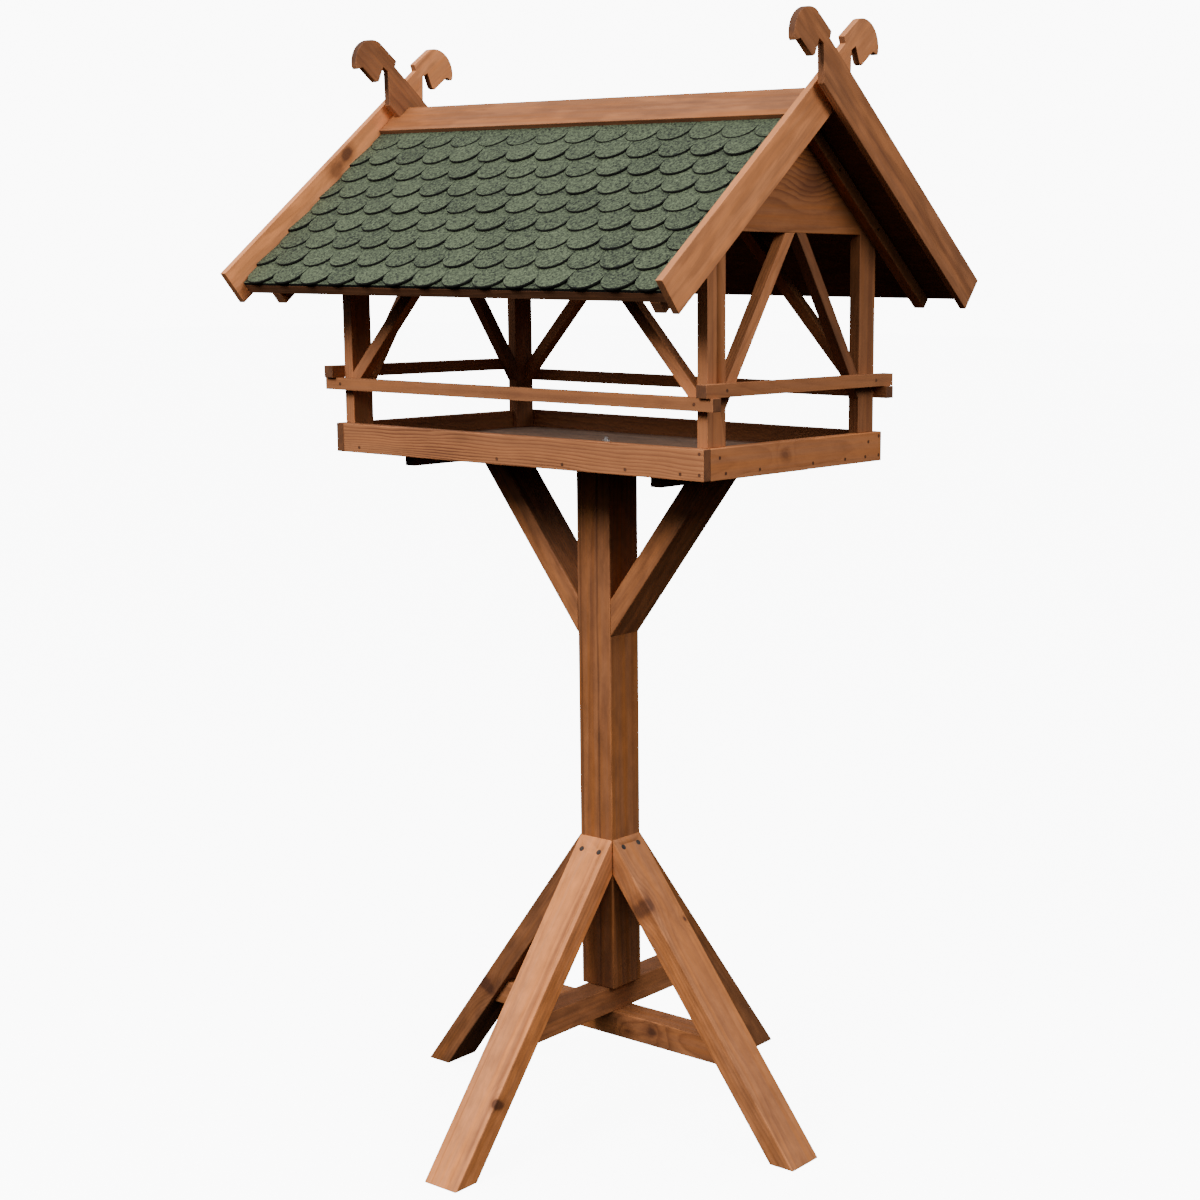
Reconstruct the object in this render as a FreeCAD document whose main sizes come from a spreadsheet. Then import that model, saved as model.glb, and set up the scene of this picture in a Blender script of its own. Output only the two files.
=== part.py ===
"""Bird table: a feeding house with a shingled roof on a square post with four slanted legs.

Lengths are in millimetres and angles in degrees.  +Z is up, the ridge runs along X, and the
origin lies on the ground under the middle of the post.
"""
import FreeCAD, Part
import os

import Sketcher

Vector = FreeCAD.Vector
Z_AXIS = Vector(0, 0, 1)
X_AXIS = Vector(1, 0, 0)

# Driving dimensions, kept in the document's sheet under these names
SIZES = {
    "PostSide": 60.0,            # side of the square post, and width of legs and braces
    "FootRailLift": 119.0,       # ground to the underside of the lower foot rail
    "FootRailDepth": 37.0,
    "FootRailWidth": 42.0,
    "LegLean": 37.7,             # angle from upright
    "LegThick": 32.0,
    "LegTop": 416.0,             # height where a leg's outer face meets the post
    "BraceLean": 37.7,           # angle from upright
    "BraceThick": 32.0,
    "BraceDrop": 249.0,          # tray underside down to a brace's lower face at the post
    "BraceSeat": 11.0,           # height of a brace's end that bears on the batten
    "TrayHeight": 957.0,         # ground to the tray's underside
    "TrayLength": 658.0,
    "TrayWidth": 390.0,
    "TrayDepth": 40.0,
    "TrayThick": 14.0,
    "FloorThick": 15.0,
    "FloorGap": 1.0,             # gap between two floor boards
    "BattenLength": 320.0,
    "LathSide": 16.5,            # side of the square laths of the house
    "CornerLap": 9.0,            # corner post lapped over the tray's side board
    "CornerWidth": 36.0,         # width of a corner post
    "RailRise": 86.0,            # tray underside to the underside of the long rails
    "LongRailReach": 21.5,       # long rail's end past the corner post
    "ShortRailReach": 23.0,      # short rail's end past the corner post
    "KneeAngle": 47.0,           # knee brace, from level
    "GableRise": 303.0,          # tray underside to the gable board's lower edge
    "GableThick": 14.0,
    "GableBraceGap": 4.0,        # between the tops of two gable braces
    "RoofSlope": 39.0,           # from level
    "RidgeRise": 453.0,          # tray underside to the apex of the deck's underside
    "EaveReach": 109.0,          # level, corner post to the deck's lower corner
    "VergeReach": 27.5,          # rafter's outer face to the inner barge board
    "VergeGap": 7.0,             # between an inner and an outer barge board
    "DeckThick": 14.0,
    "BargeThick": 10.0,
    "BargeDepth": 50.0,
    "BargeDrop": 3.4,            # barge board's lower edge below the deck's underside
    "BargeOverhang": 16.3,       # barge board's lower end past the eave
    "RidgeWidth": 55.5,
    "RidgeThick": 7.0,
    "ShingleThick": 2.0,
    "ShingleExposure": 37.0,     # from one course to the next
    "ShingleOverhang": 4.0,      # first course past the eave
    "TabWidth": 53.0,
    "TabDepth": 24.0,            # round part of a shingle tab
    "ScrewDiameter": 4.0,
    "ScrewHead": 8.0,
    "ScrewHeadDepth": 2.2,
    "ScrewLength": 45.0,
    "ScrewSpacing": 32.0,        # between the two screws of a leg
    "ScrewDropSide": 15.0,       # left and right legs, down the face from its top edge
    "ScrewDropFront": 22.0,      # front and back legs, clear of the other two legs' screws
    "FootScrewDiameter": 8.0,
    "FootScrewHead": 16.0,
    "FootScrewHeadDepth": 4.0,
    "FootScrewLength": 140.0,
    "NailDiameter": 2.0,
    "NailHead": 4.5,
    "NailHeadDepth": 0.8,
    "NailLength": 30.0,
    "FootNailLength": 20.0,      # through a tray side board into a corner post's foot
    "BoltDiameter": 6.0,
    "BoltLength": 90.0,
    "BoltProud": 4.0,            # bolt's end above the nut
    "NutFlats": 10.0,
    "NutHeight": 5.0,
    "WasherDiameter": 24.0,
    "WasherThick": 2.0,
    "HoleFit": 0.15,             # clearance round a shank in its hole, on each side
}

FLOOR_BOARDS = 3
DECK_BOARDS = 3

# Nails low in a tray board into the floor, and at a corner, as shares of half the tray's
# length, of half its width and of its depth
LONG_BOARD_NAILS = (-0.863, -0.061, 0.291, 0.615, 0.887)
SHORT_BOARD_NAILS = (-0.774, -0.415, 0.176, 0.554, 0.800)
CORNER_NAILS = (0.2, 0.85)

# Horse head past the crossing of two barge boards: (up the slope, square to it), from the apex
HEAD_FACE = [
    (80.5, 32.0),     # top of the neck at the throat
    (90.5, 30.5),
    (84.5, 9.5),      # back of the jaw
    (87.7, 4.5),      # chin
    (118.5, 3.5),     # mouth
    (124.5, -5.5),    # lip
    (128.5, -3.8),    # nose, start of the round forehead
]
HEAD_CROWN = (139.6, 21.0)           # a point on the forehead's arc
HEAD_BACK = [
    (116.5, 53.2),    # end of the round forehead
    (77.0, 55.0),     # tip of the ear
    (74.2, 46.6),     # back of the ear
]
NECK_LOWER = 50.0                    # up the slope, where the neck leaves the lower edge
NECK_UPPER = 54.0                    # up the slope, where the mane leaves the upper edge

doc = FreeCAD.newDocument("BirdTable")
sheet = doc.addObject("Spreadsheet::Sheet", "Dim")
for row, (alias, number) in enumerate(SIZES.items(), start=1):
    sheet.set(f"A{row}", alias)
    sheet.set(f"B{row}", str(number))
    sheet.setAlias(f"B{row}", alias)
doc.recompute()

nodes = {}


def value(expression):
    """Return the number that an expression on the sheet gives now."""
    return float(sheet.evalExpression(str(expression)))


def half(expression):
    """Return the expression for half of another one."""
    return f"({expression}) / 2"


# Heights and faces that several pieces share
TRAY_FLOOR = "(Dim.TrayHeight + Dim.FloorThick)"
TRAY_RIM = "(Dim.TrayHeight + Dim.TrayDepth)"
TRAY_INNER_X = "(Dim.TrayLength / 2 - Dim.TrayThick)"
TRAY_INNER_Y = "(Dim.TrayWidth / 2 - Dim.TrayThick)"
POST_FOOT = "(Dim.FootRailLift + 2 * Dim.FootRailDepth)"
CORNER_OUTER_X = f"({TRAY_INNER_X} + Dim.CornerLap)"
CORNER_INNER_X = f"({CORNER_OUTER_X} - Dim.LathSide)"
CORNER_OUTER_Y = TRAY_INNER_Y
CORNER_INNER_Y = f"({TRAY_INNER_Y} - Dim.CornerWidth)"
LONG_RAIL_BASE = "(Dim.TrayHeight + Dim.RailRise)"
SHORT_RAIL_BASE = f"({LONG_RAIL_BASE} + Dim.LathSide)"
GABLE_BASE = "(Dim.TrayHeight + Dim.GableRise)"
APEX = "(Dim.TrayHeight + Dim.RidgeRise)"
SLOPE_LENGTH = f"(({CORNER_OUTER_Y} + Dim.EaveReach) / cos(Dim.RoofSlope))"
ROOF_REACH = f"({CORNER_OUTER_X} + Dim.LathSide + Dim.VergeReach)"
BARGE_OUTER = f"({ROOF_REACH} + Dim.BargeThick + Dim.VergeGap)"
BATTEN_REACH = "(Dim.PostSide / 2 + (Dim.BraceDrop - Dim.BraceSeat) * tan(Dim.BraceLean))"
RIDGE_SEAT = "(Dim.DeckThick + 2 * Dim.ShingleThick)"
RIDGE_TOP = f"({RIDGE_SEAT} * tan(Dim.RoofSlope))"


def under_roof(across):
    """Return the height of the deck's underside at a distance from the ridge line."""
    return f"({APEX} - ({across}) * tan(Dim.RoofSlope))"


# Ways of making a piece
def keep(name, piece):
    """Record a finished piece under the name of its node."""
    piece.Label = name
    nodes[name] = piece
    return piece


def turned(body, turn, start=("0", "0", "0")):
    """Place a piece by its bound start, turned about the upright axis through the origin."""
    body.Placement = FreeCAD.Placement(Vector(0, 0, 0), FreeCAD.Rotation(Z_AXIS, turn))
    sign = "-" if turn == 180 else ""
    body.setExpression("Placement.Base.x", f"{sign}({start[0]})")
    body.setExpression("Placement.Base.y", f"{sign}({start[1]})")
    body.setExpression("Placement.Base.z", start[2])


def board(name, start, lengths, turn=0):
    """Make a square-cut board from the corner it starts at and its three bound lengths."""
    box = doc.addObject("Part::Box", name)
    for side, length in zip(("Length", "Width", "Height"), lengths):
        box.setExpression(side, length)
    turned(box, turn, start)
    return box


def bound_outline(sketch, corners, arc_at=None, arc_through=None):
    """Draw a closed outline whose corners are bound, with one side as an arc if asked."""
    points = [Vector(value(u), value(v), 0) for u, v in corners]
    count = len(points)
    for index, point in enumerate(points):
        following = points[(index + 1) % count]
        if index == arc_at:
            sketch.addGeometry(Part.Arc(point, Vector(*arc_through, 0), following))
        else:
            sketch.addGeometry(Part.LineSegment(point, following))
    for index in range(count):
        sketch.addConstraint(Sketcher.Constraint("Coincident", index, 2, (index + 1) % count, 1))
    for index, (corner, point) in enumerate(zip(corners, points)):
        across = Sketcher.Constraint("DistanceX", -1, 1, index, 1, point.x)
        sketch.setExpression(f"Constraints[{sketch.addConstraint(across)}]", str(corner[0]))
        upward = Sketcher.Constraint("DistanceY", -1, 1, index, 1, point.y)
        sketch.setExpression(f"Constraints[{sketch.addConstraint(upward)}]", str(corner[1]))
    if arc_at is not None:
        radius = sketch.Geometry[arc_at].Radius
        sketch.addConstraint(Sketcher.Constraint("Radius", arc_at, radius))


def sketch_on(body, plane, name, in_slope=False):
    """Add a sketch on a body's own plane, in level axes or in those of the front roof slope."""
    sketch = body.newObject("Sketcher::SketchObject", name)
    support = [f for f in body.Origin.OriginFeatures if f.Role == f"{plane}_Plane"][0]
    sketch.AttachmentSupport = (support, [""])
    sketch.MapMode = "FlatFace"
    if in_slope:
        slope = FreeCAD.Rotation(Z_AXIS, value("Dim.RoofSlope"))
        sketch.AttachmentOffset = FreeCAD.Placement(Vector(0, value(APEX), 0), slope)
        sketch.setExpression("AttachmentOffset.Base.y", APEX)
        sketch.setExpression("AttachmentOffset.Rotation.Angle", "Dim.RoofSlope")
    return sketch


def prism(name, plane, corners, depth, start=None, turn=0, in_slope=False, **arc):
    """Pad a bound outline by depth, from start on, or to both sides of its plane alike."""
    body = doc.addObject("PartDesign::Body", name)
    sketch = sketch_on(body, plane, f"{name}_outline", in_slope)
    bound_outline(sketch, corners, **arc)
    pad = body.newObject("PartDesign::Pad", f"{name}_pad")
    pad.Profile = sketch
    pad.setExpression("Length", depth)
    pad.Reversed = plane == "XZ"
    pad.Midplane = start is None
    first = start if start is not None else "0"
    turned(body, turn, {"YZ": (first, "0", "0"), "XZ": ("0", first, "0")}[plane])
    return body


def cut_across(body, plane, name, corners):
    """Cut away all that an outline covers, through the whole body on both sides of its plane."""
    doc.recompute()
    before = body.Shape.Volume
    sketch = sketch_on(body, plane, f"{name}_outline")
    bound_outline(sketch, corners)
    pocket = body.newObject("PartDesign::Pocket", name)
    pocket.Profile = sketch
    pocket.Type = 1
    pocket.Midplane = True
    doc.recompute()
    if body.Shape.Volume >= before:
        raise RuntimeError(f"{name} removes nothing")


def cut_under_roof(body, start):
    """Bevel a body that starts at a distance along Y to the underside of both roof slopes."""
    reach = SLOPE_LENGTH
    above = f"({APEX} + {SLOPE_LENGTH})"
    cut_across(body, "YZ", f"{body.Name}_bevel", [
        (f"-{reach} - ({start})", under_roof(reach)),
        (f"-({start})", APEX),
        (f"{reach} - ({start})", under_roof(reach)),
        (f"{reach} - ({start})", above),
        (f"-{reach} - ({start})", above),
    ])


def cut(name, piece, tool):
    """Subtract a tool from a piece and name the result."""
    result = doc.addObject("Part::Cut", name)
    piece.Label = f"{name}_blank"
    result.Base = piece
    result.Tool = tool
    return keep(name, result)


def group(name, shapes):
    """Make one object of separate solids."""
    feature = doc.addObject("Part::Feature", name)
    feature.Shape = Part.makeCompound(shapes)
    feature.Label = name
    return feature


# Fasteners, each modelled with its head's face at the origin and its shank along +Z
def shank(diameter, length, head, head_depth, fit, countersunk):
    """Return a screw or a nail, or the hole it needs when fit is more than nothing."""
    rod = Part.makeCylinder(diameter / 2 + fit, length + fit)
    if countersunk:
        top = Part.makeCone(head / 2, diameter / 2, head_depth)
    else:
        top = Part.makeCylinder(head / 2 + fit, head_depth)
    return rod.fuse(top).removeSplitter()


def driven(fastener, point, direction):
    """Return a copy of a fastener with its head at a point, driven along a direction."""
    copy = fastener.copy()
    copy.Placement = FreeCAD.Placement(Vector(*point), FreeCAD.Rotation(Z_AXIS, Vector(*direction)))
    return copy


def leg_screw_places():
    """List head place and direction of every leg screw, two in each of the four legs."""
    down = Vector(value("sin(Dim.LegLean)"), 0, -value("cos(Dim.LegLean)"))
    inward = Vector(-value("cos(Dim.LegLean)"), 0, -value("sin(Dim.LegLean)"))
    top = Vector(value("Dim.PostSide / 2"), 0, value("Dim.LegTop"))
    places = []
    for turn in range(0, 360, 90):
        drop = value("Dim.ScrewDropSide" if turn % 180 == 0 else "Dim.ScrewDropFront")
        rotation = FreeCAD.Rotation(Z_AXIS, turn)
        for side in (-1, 1):
            aside = Vector(0, side * value("Dim.ScrewSpacing / 2"), 0)
            point = top + down * drop + aside
            places.append((rotation.multVec(point), rotation.multVec(inward)))
    return places


def nail_places():
    """List head place and direction of every long nail."""
    places = []
    tray_x, tray_y = value("Dim.TrayLength / 2"), value("Dim.TrayWidth / 2")
    base, depth = value("Dim.TrayHeight"), value("Dim.TrayDepth")
    half_board = value("Dim.TrayThick / 2")
    floor_middle = base + value("Dim.FloorThick / 2")
    for sign in (-1, 1):
        for share in LONG_BOARD_NAILS:
            places.append(((sign * share * tray_x, -sign * tray_y, floor_middle), (0, sign, 0)))
        for share in SHORT_BOARD_NAILS:
            places.append(((sign * tray_x, sign * share * tray_y, floor_middle), (-sign, 0, 0)))
        for share in CORNER_NAILS:
            height = base + share * depth
            places.append(((sign * (tray_x - half_board), -sign * tray_y, height), (0, sign, 0)))
            places.append(((sign * tray_x, sign * (tray_y - half_board), height), (-sign, 0, 0)))
    board_step = value("(Dim.TrayWidth - 2 * Dim.TrayThick + Dim.FloorGap)") / FLOOR_BOARDS
    board_rows = [(k - (FLOOR_BOARDS - 1) / 2) * board_step for k in range(FLOOR_BOARDS)]
    lath = value("Dim.LathSide")
    post_x, post_y = value(CORNER_OUTER_X), value(CORNER_OUTER_Y)
    post_middle_y = post_y - value("Dim.CornerWidth / 2")
    rafter_drop = lath / 2 / value("cos(Dim.RoofSlope)")
    for sx in (-1, 1):
        for y in board_rows:
            batten_x = sx * (value(BATTEN_REACH) + lath / 2)
            places.append(((batten_x, y, base - lath), (0, 0, 1)))
        for sy in (-1, 1):
            rail_point = (sx * (post_x - lath / 2), sy * (post_y + lath), value(LONG_RAIL_BASE) + lath / 2)
            places.append((rail_point, (0, -sy, 0)))
            outer_x = sx * (post_x + lath)
            short_point = (outer_x, sy * post_middle_y, value(SHORT_RAIL_BASE) + lath / 2)
            places.append((short_point, (-sx, 0, 0)))
            for across in (post_middle_y, (post_y - value("Dim.CornerWidth")) / 2):
                height = value(under_roof(across)) - rafter_drop
                places.append(((outer_x, sy * across, height), (-sx, 0, 0)))
    return places


def foot_nail_places():
    """List head place and direction of the nails into the feet of the corner posts."""
    height = (value(TRAY_FLOOR) + value(TRAY_RIM)) / 2
    across = value(CORNER_OUTER_Y) - value("Dim.CornerWidth / 2")
    reach = value("Dim.TrayLength / 2")
    return [((sx * reach, sy * across, height), (-sx, 0, 0)) for sx in (-1, 1) for sy in (-1, 1)]


def screws(fit):
    """Return all leg screws, or their holes."""
    one = shank(value("Dim.ScrewDiameter"), value("Dim.ScrewLength"), value("Dim.ScrewHead"),
                value("Dim.ScrewHeadDepth"), fit, countersunk=True)
    return [driven(one, point, direction) for point, direction in leg_screw_places()]


def nails(fit):
    """Return all nails, or their holes."""
    solids = []
    for length, places in (("Dim.NailLength", nail_places()), ("Dim.FootNailLength", foot_nail_places())):
        one = shank(value("Dim.NailDiameter"), value(length), value("Dim.NailHead"),
                    value("Dim.NailHeadDepth"), fit, countersunk=False)
        solids += [driven(one, point, direction) for point, direction in places]
    return solids


def foot_screw_solid(fit):
    """Return the screw up through both foot rails into the post, or its hole."""
    one = shank(value("Dim.FootScrewDiameter"), value("Dim.FootScrewLength"), value("Dim.FootScrewHead"),
                value("Dim.FootScrewHeadDepth"), fit, countersunk=False)
    return driven(one, (0, 0, value("Dim.FootRailLift")), (0, 0, 1))


hole_fit = value("Dim.HoleFit")
bolt_top = f"({TRAY_FLOOR} + Dim.WasherThick + Dim.NutHeight + Dim.BoltProud)"
bolt_start = ("0", "0", f"{bolt_top} - Dim.BoltLength")


def bolt_rod(name, fit):
    """Make the hanger bolt, or the hole it stands in."""
    rod = doc.addObject("Part::Cylinder", name)
    rod.setExpression("Radius", f"Dim.BoltDiameter / 2 + {fit}")
    rod.setExpression("Height", "Dim.BoltLength")
    turned(rod, 0, bolt_start)
    return rod


keep("stand_screws", group("stand_screws", screws(0)))
keep("nails", group("nails", nails(0)))
keep("foot_screw", group("foot_screw", [foot_screw_solid(0)]))
keep("hanger_bolt", bolt_rod("hanger_bolt", "0"))
bolt_hole = bolt_rod("bolt_hole", "Dim.HoleFit")
stand_holes = group("stand_holes", screws(hole_fit) + [foot_screw_solid(hole_fit)])
nail_holes = group("nail_holes", nails(hole_fit))

# Post
post_size = ("Dim.PostSide", "Dim.PostSide", f"Dim.TrayHeight - {POST_FOOT}")
post_blank = board("post_blank", (half("-Dim.PostSide"), half("-Dim.PostSide"), POST_FOOT), post_size)
post_screwed = doc.addObject("Part::Cut", "post_screwed")
post_screwed.Base = post_blank
post_screwed.Tool = stand_holes
cut("post", post_screwed, bolt_hole)


# Legs: the upper end bears plumb against the post, the foot is flat on the ground
def leg_face(height):
    """Return how far out a leg's outer face is at a height."""
    return f"(Dim.PostSide / 2 + (Dim.LegTop - ({height})) * tan(Dim.LegLean))"


leg_throat = "(Dim.LegTop - Dim.LegThick / sin(Dim.LegLean))"
leg_outline = [
    ("Dim.PostSide / 2", "Dim.LegTop"),
    ("Dim.PostSide / 2", leg_throat),
    (f"{leg_face('0')} - Dim.LegThick / cos(Dim.LegLean)", "0"),
    (leg_face("0"), "0"),
]
for leg_turn, leg_place in ((0, "right"), (90, "back"), (180, "left"), (270, "front")):
    blank = prism(f"leg_{leg_place}_blank", "XZ", leg_outline, "Dim.PostSide", turn=leg_turn)
    cut(f"leg_{leg_place}", blank, stand_holes)


# Foot rails: two laths crossing under the post, their ends cut along the legs
def rail_end(height):
    """Return how far out the inner face of a leg is at a height."""
    return f"(Dim.PostSide / 2 + ({leg_throat} - ({height})) * tan(Dim.LegLean))"


def foot_rail(name, plane, base):
    """Make one foot rail lying with its underside at a height."""
    top = f"({base} + Dim.FootRailDepth)"
    corners = [
        (f"-{rail_end(base)}", base),
        (rail_end(base), base),
        (rail_end(top), top),
        (f"-{rail_end(top)}", top),
    ]
    cut(name, prism(f"{name}_blank", plane, corners, "Dim.FootRailWidth"), stand_holes)


foot_rail("foot_rail_lower", "XZ", "Dim.FootRailLift")
foot_rail("foot_rail_upper", "YZ", "(Dim.FootRailLift + Dim.FootRailDepth)")

# Braces from the post to the battens under the tray
brace_base = "(Dim.TrayHeight - Dim.BraceDrop)"
brace_heel = f"({brace_base} + Dim.BraceThick / sin(Dim.BraceLean))"
brace_outline = [
    ("Dim.PostSide / 2", brace_base),
    (BATTEN_REACH, "Dim.TrayHeight - Dim.BraceSeat"),
    (BATTEN_REACH, "Dim.TrayHeight"),
    (f"Dim.PostSide / 2 + (Dim.TrayHeight - {brace_heel}) * tan(Dim.BraceLean)", "Dim.TrayHeight"),
    ("Dim.PostSide / 2", brace_heel),
]
for side, side_turn in (("right", 0), ("left", 180)):
    keep(f"brace_{side}", prism(f"brace_{side}", "XZ", brace_outline, "Dim.PostSide", turn=side_turn))

# Tray: battens, floor boards and the four boards round it
batten_start = (BATTEN_REACH, half("-Dim.BattenLength"), "Dim.TrayHeight - Dim.LathSide")
batten_size = ("Dim.LathSide", "Dim.BattenLength", "Dim.LathSide")
for side, side_turn in (("right", 0), ("left", 180)):
    blank = board(f"batten_{side}_blank", batten_start, batten_size, side_turn)
    cut(f"batten_{side}", blank, nail_holes)

floor_pitch = f"((2 * {TRAY_INNER_Y} + Dim.FloorGap) / {FLOOR_BOARDS})"
floor_size = (f"2 * {TRAY_INNER_X}", f"{floor_pitch} - Dim.FloorGap", "Dim.FloorThick")
for index, floor_place in enumerate(("front", "middle", "back")):
    start_y = f"-{TRAY_INNER_Y} + {index} * {floor_pitch}"
    blank = board(f"floor_{floor_place}_blank", (f"-{TRAY_INNER_X}", start_y, "Dim.TrayHeight"), floor_size)
    if floor_place == "middle":
        nailed = doc.addObject("Part::Cut", "floor_middle_nailed")
        nailed.Base = blank
        nailed.Tool = nail_holes
        cut("floor_board_middle", nailed, bolt_hole)
    else:
        cut(f"floor_board_{floor_place}", blank, nail_holes)

# Each board round the tray laps the end of the next one and is lapped by the one before
long_board_size = ("Dim.TrayLength - Dim.TrayThick", "Dim.TrayThick", "Dim.TrayDepth")
for side, side_turn in (("back", 0), ("front", 180)):
    start = (half("-Dim.TrayLength"), TRAY_INNER_Y, "Dim.TrayHeight")
    cut(f"tray_{side}", board(f"tray_{side}_blank", start, long_board_size, side_turn), nail_holes)
short_board_size = ("Dim.TrayThick", "Dim.TrayWidth - Dim.TrayThick", "Dim.TrayDepth")
for side, side_turn in (("right", 0), ("left", 180)):
    start = (TRAY_INNER_X, f"-{TRAY_INNER_Y}", "Dim.TrayHeight")
    cut(f"tray_{side}", board(f"tray_{side}_blank", start, short_board_size, side_turn), nail_holes)

# Washer and nut on the hanger bolt
washer_disc = doc.addObject("Part::Cylinder", "washer_disc")
washer_disc.setExpression("Radius", "Dim.WasherDiameter / 2")
washer_disc.setExpression("Height", "Dim.WasherThick")
turned(washer_disc, 0, ("0", "0", TRAY_FLOOR))
cut("washer", washer_disc, bolt_hole)
nut_prism = doc.addObject("Part::Prism", "nut_prism")
nut_prism.Polygon = 6
nut_prism.setExpression("Circumradius", "Dim.NutFlats / 2 / cos(30)")
nut_prism.setExpression("Height", "Dim.NutHeight")
turned(nut_prism, 0, ("0", "0", f"{TRAY_FLOOR} + Dim.WasherThick"))
cut("nut", nut_prism, bolt_hole)


# Corner posts: lapped over the tray's side boards, bevelled under the roof
def corner_post(name, sy, turn):
    """Make a corner post on the right, at the front (sy -1) or the back (sy 1), then turn it."""
    corners = [
        (CORNER_INNER_X, TRAY_FLOOR),
        (TRAY_INNER_X, TRAY_FLOOR),
        (TRAY_INNER_X, TRAY_RIM),
        (CORNER_OUTER_X, TRAY_RIM),
        (CORNER_OUTER_X, APEX),
        (CORNER_INNER_X, APEX),
    ]
    start = CORNER_INNER_Y if sy > 0 else f"-{CORNER_OUTER_Y}"
    body = prism(f"{name}_blank", "XZ", corners, "Dim.CornerWidth", start, turn)
    cut_under_roof(body, start)
    cut(name, body, nail_holes)


# Knee braces, front and back, from the corner posts up to the deck
def knee_brace(name, sy, turn):
    """Make a knee brace on the right, at the front or the back, then turn it."""
    lean = "tan(Dim.KneeAngle)"
    upright = "(Dim.LathSide / cos(Dim.KneeAngle))"
    corners = [
        (CORNER_INNER_X, LONG_RAIL_BASE),
        (CORNER_INNER_X, f"{LONG_RAIL_BASE} + {upright}"),
        (f"{CORNER_INNER_X} - ({APEX} - {LONG_RAIL_BASE} - {upright}) / {lean}", APEX),
        (f"{CORNER_INNER_X} - ({APEX} - {LONG_RAIL_BASE}) / {lean}", APEX),
    ]
    start = f"({CORNER_OUTER_Y} - Dim.LathSide)" if sy > 0 else f"-{CORNER_OUTER_Y}"
    body = prism(name, "XZ", corners, "Dim.LathSide", start, turn)
    cut_under_roof(body, start)
    keep(name, body)


# Gable braces, from a corner post up to the gable board
def gable_brace(name, sy, turn):
    """Make a gable brace on the right, at the front or the back, then turn it."""
    run = f"({CORNER_INNER_Y} - Dim.GableBraceGap / 2)"
    rise = f"({GABLE_BASE} - {LONG_RAIL_BASE})"
    slant = f"(Dim.LathSide * sqrt({run} * {run} + {rise} * {rise}))"
    corners = [
        (f"{sy} * {CORNER_INNER_Y}", LONG_RAIL_BASE),
        (f"{sy} * Dim.GableBraceGap / 2", GABLE_BASE),
        (f"{sy} * (Dim.GableBraceGap / 2 + {slant} / {rise})", GABLE_BASE),
        (f"{sy} * {CORNER_INNER_Y}", f"{LONG_RAIL_BASE} + {slant} / {run}"),
    ]
    keep(name, prism(name, "YZ", corners, "Dim.LathSide", CORNER_INNER_X, turn))


for side, side_turn, near, far in (("right", 0, "front", "back"), ("left", 180, "back", "front")):
    for place, sy in ((near, -1), (far, 1)):
        corner_post(f"corner_post_{place}_{side}", sy, side_turn)
        knee_brace(f"knee_brace_{place}_{side}", sy, side_turn)
        gable_brace(f"gable_brace_{place}_{side}", sy, side_turn)

# Rails round the corner posts: the short ones lie on the ends of the long ones
long_rail_reach = f"({CORNER_OUTER_X} + Dim.LongRailReach)"
long_rail_size = (f"2 * {long_rail_reach}", "Dim.LathSide", "Dim.LathSide")
for side, side_turn in (("back", 0), ("front", 180)):
    start = (f"-{long_rail_reach}", CORNER_OUTER_Y, LONG_RAIL_BASE)
    cut(f"rail_{side}", board(f"rail_{side}_blank", start, long_rail_size, side_turn), nail_holes)
short_rail_reach = f"({CORNER_OUTER_Y} + Dim.ShortRailReach)"
short_rail_size = ("Dim.LathSide", f"2 * {short_rail_reach}", "Dim.LathSide")
for side, side_turn in (("right", 0), ("left", 180)):
    start = (CORNER_OUTER_X, f"-{short_rail_reach}", SHORT_RAIL_BASE)
    cut(f"rail_{side}", board(f"rail_{side}_blank", start, short_rail_size, side_turn), nail_holes)

# Gable boards, flush with the corner posts
gable_outline = [
    (f"-{CORNER_INNER_Y}", GABLE_BASE),
    (CORNER_INNER_Y, GABLE_BASE),
    (CORNER_INNER_Y, under_roof(CORNER_INNER_Y)),
    ("0", APEX),
    (f"-{CORNER_INNER_Y}", under_roof(CORNER_INNER_Y)),
]
for side, side_turn in (("right", 0), ("left", 180)):
    start = f"({CORNER_OUTER_X} - Dim.GableThick)"
    blank = prism(f"gable_board_{side}_blank", "YZ", gable_outline, "Dim.GableThick", start, side_turn)
    cut(f"gable_board_{side}", blank, nail_holes)

# The roof is drawn for the front slope and turned half round for the back one, so that at
# each gable one barge board passes outside the other.  Outlines run up the slope from the
# eave, below 0, to the apex at 0, and square to it from the deck's underside.
ROOF_TURNS = (("front", "left", "right", 0), ("back", "right", "left", 180))

rafter_outline = [
    (f"-{SLOPE_LENGTH}", "-Dim.LathSide"),
    ("-Dim.LathSide * tan(Dim.RoofSlope)", "-Dim.LathSide"),
    ("0", "0"),
    (f"-{SLOPE_LENGTH}", "0"),
]
for slope, low_side, high_side, slope_turn in ROOF_TURNS:
    for side, start in ((high_side, CORNER_OUTER_X), (low_side, f"-({CORNER_OUTER_X} + Dim.LathSide)")):
        name = f"rafter_{slope}_{side}"
        blank = prism(
            f"{name}_blank", "YZ", rafter_outline, "Dim.LathSide", start, slope_turn, in_slope=True
        )
        cut(name, blank, nail_holes)


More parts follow.
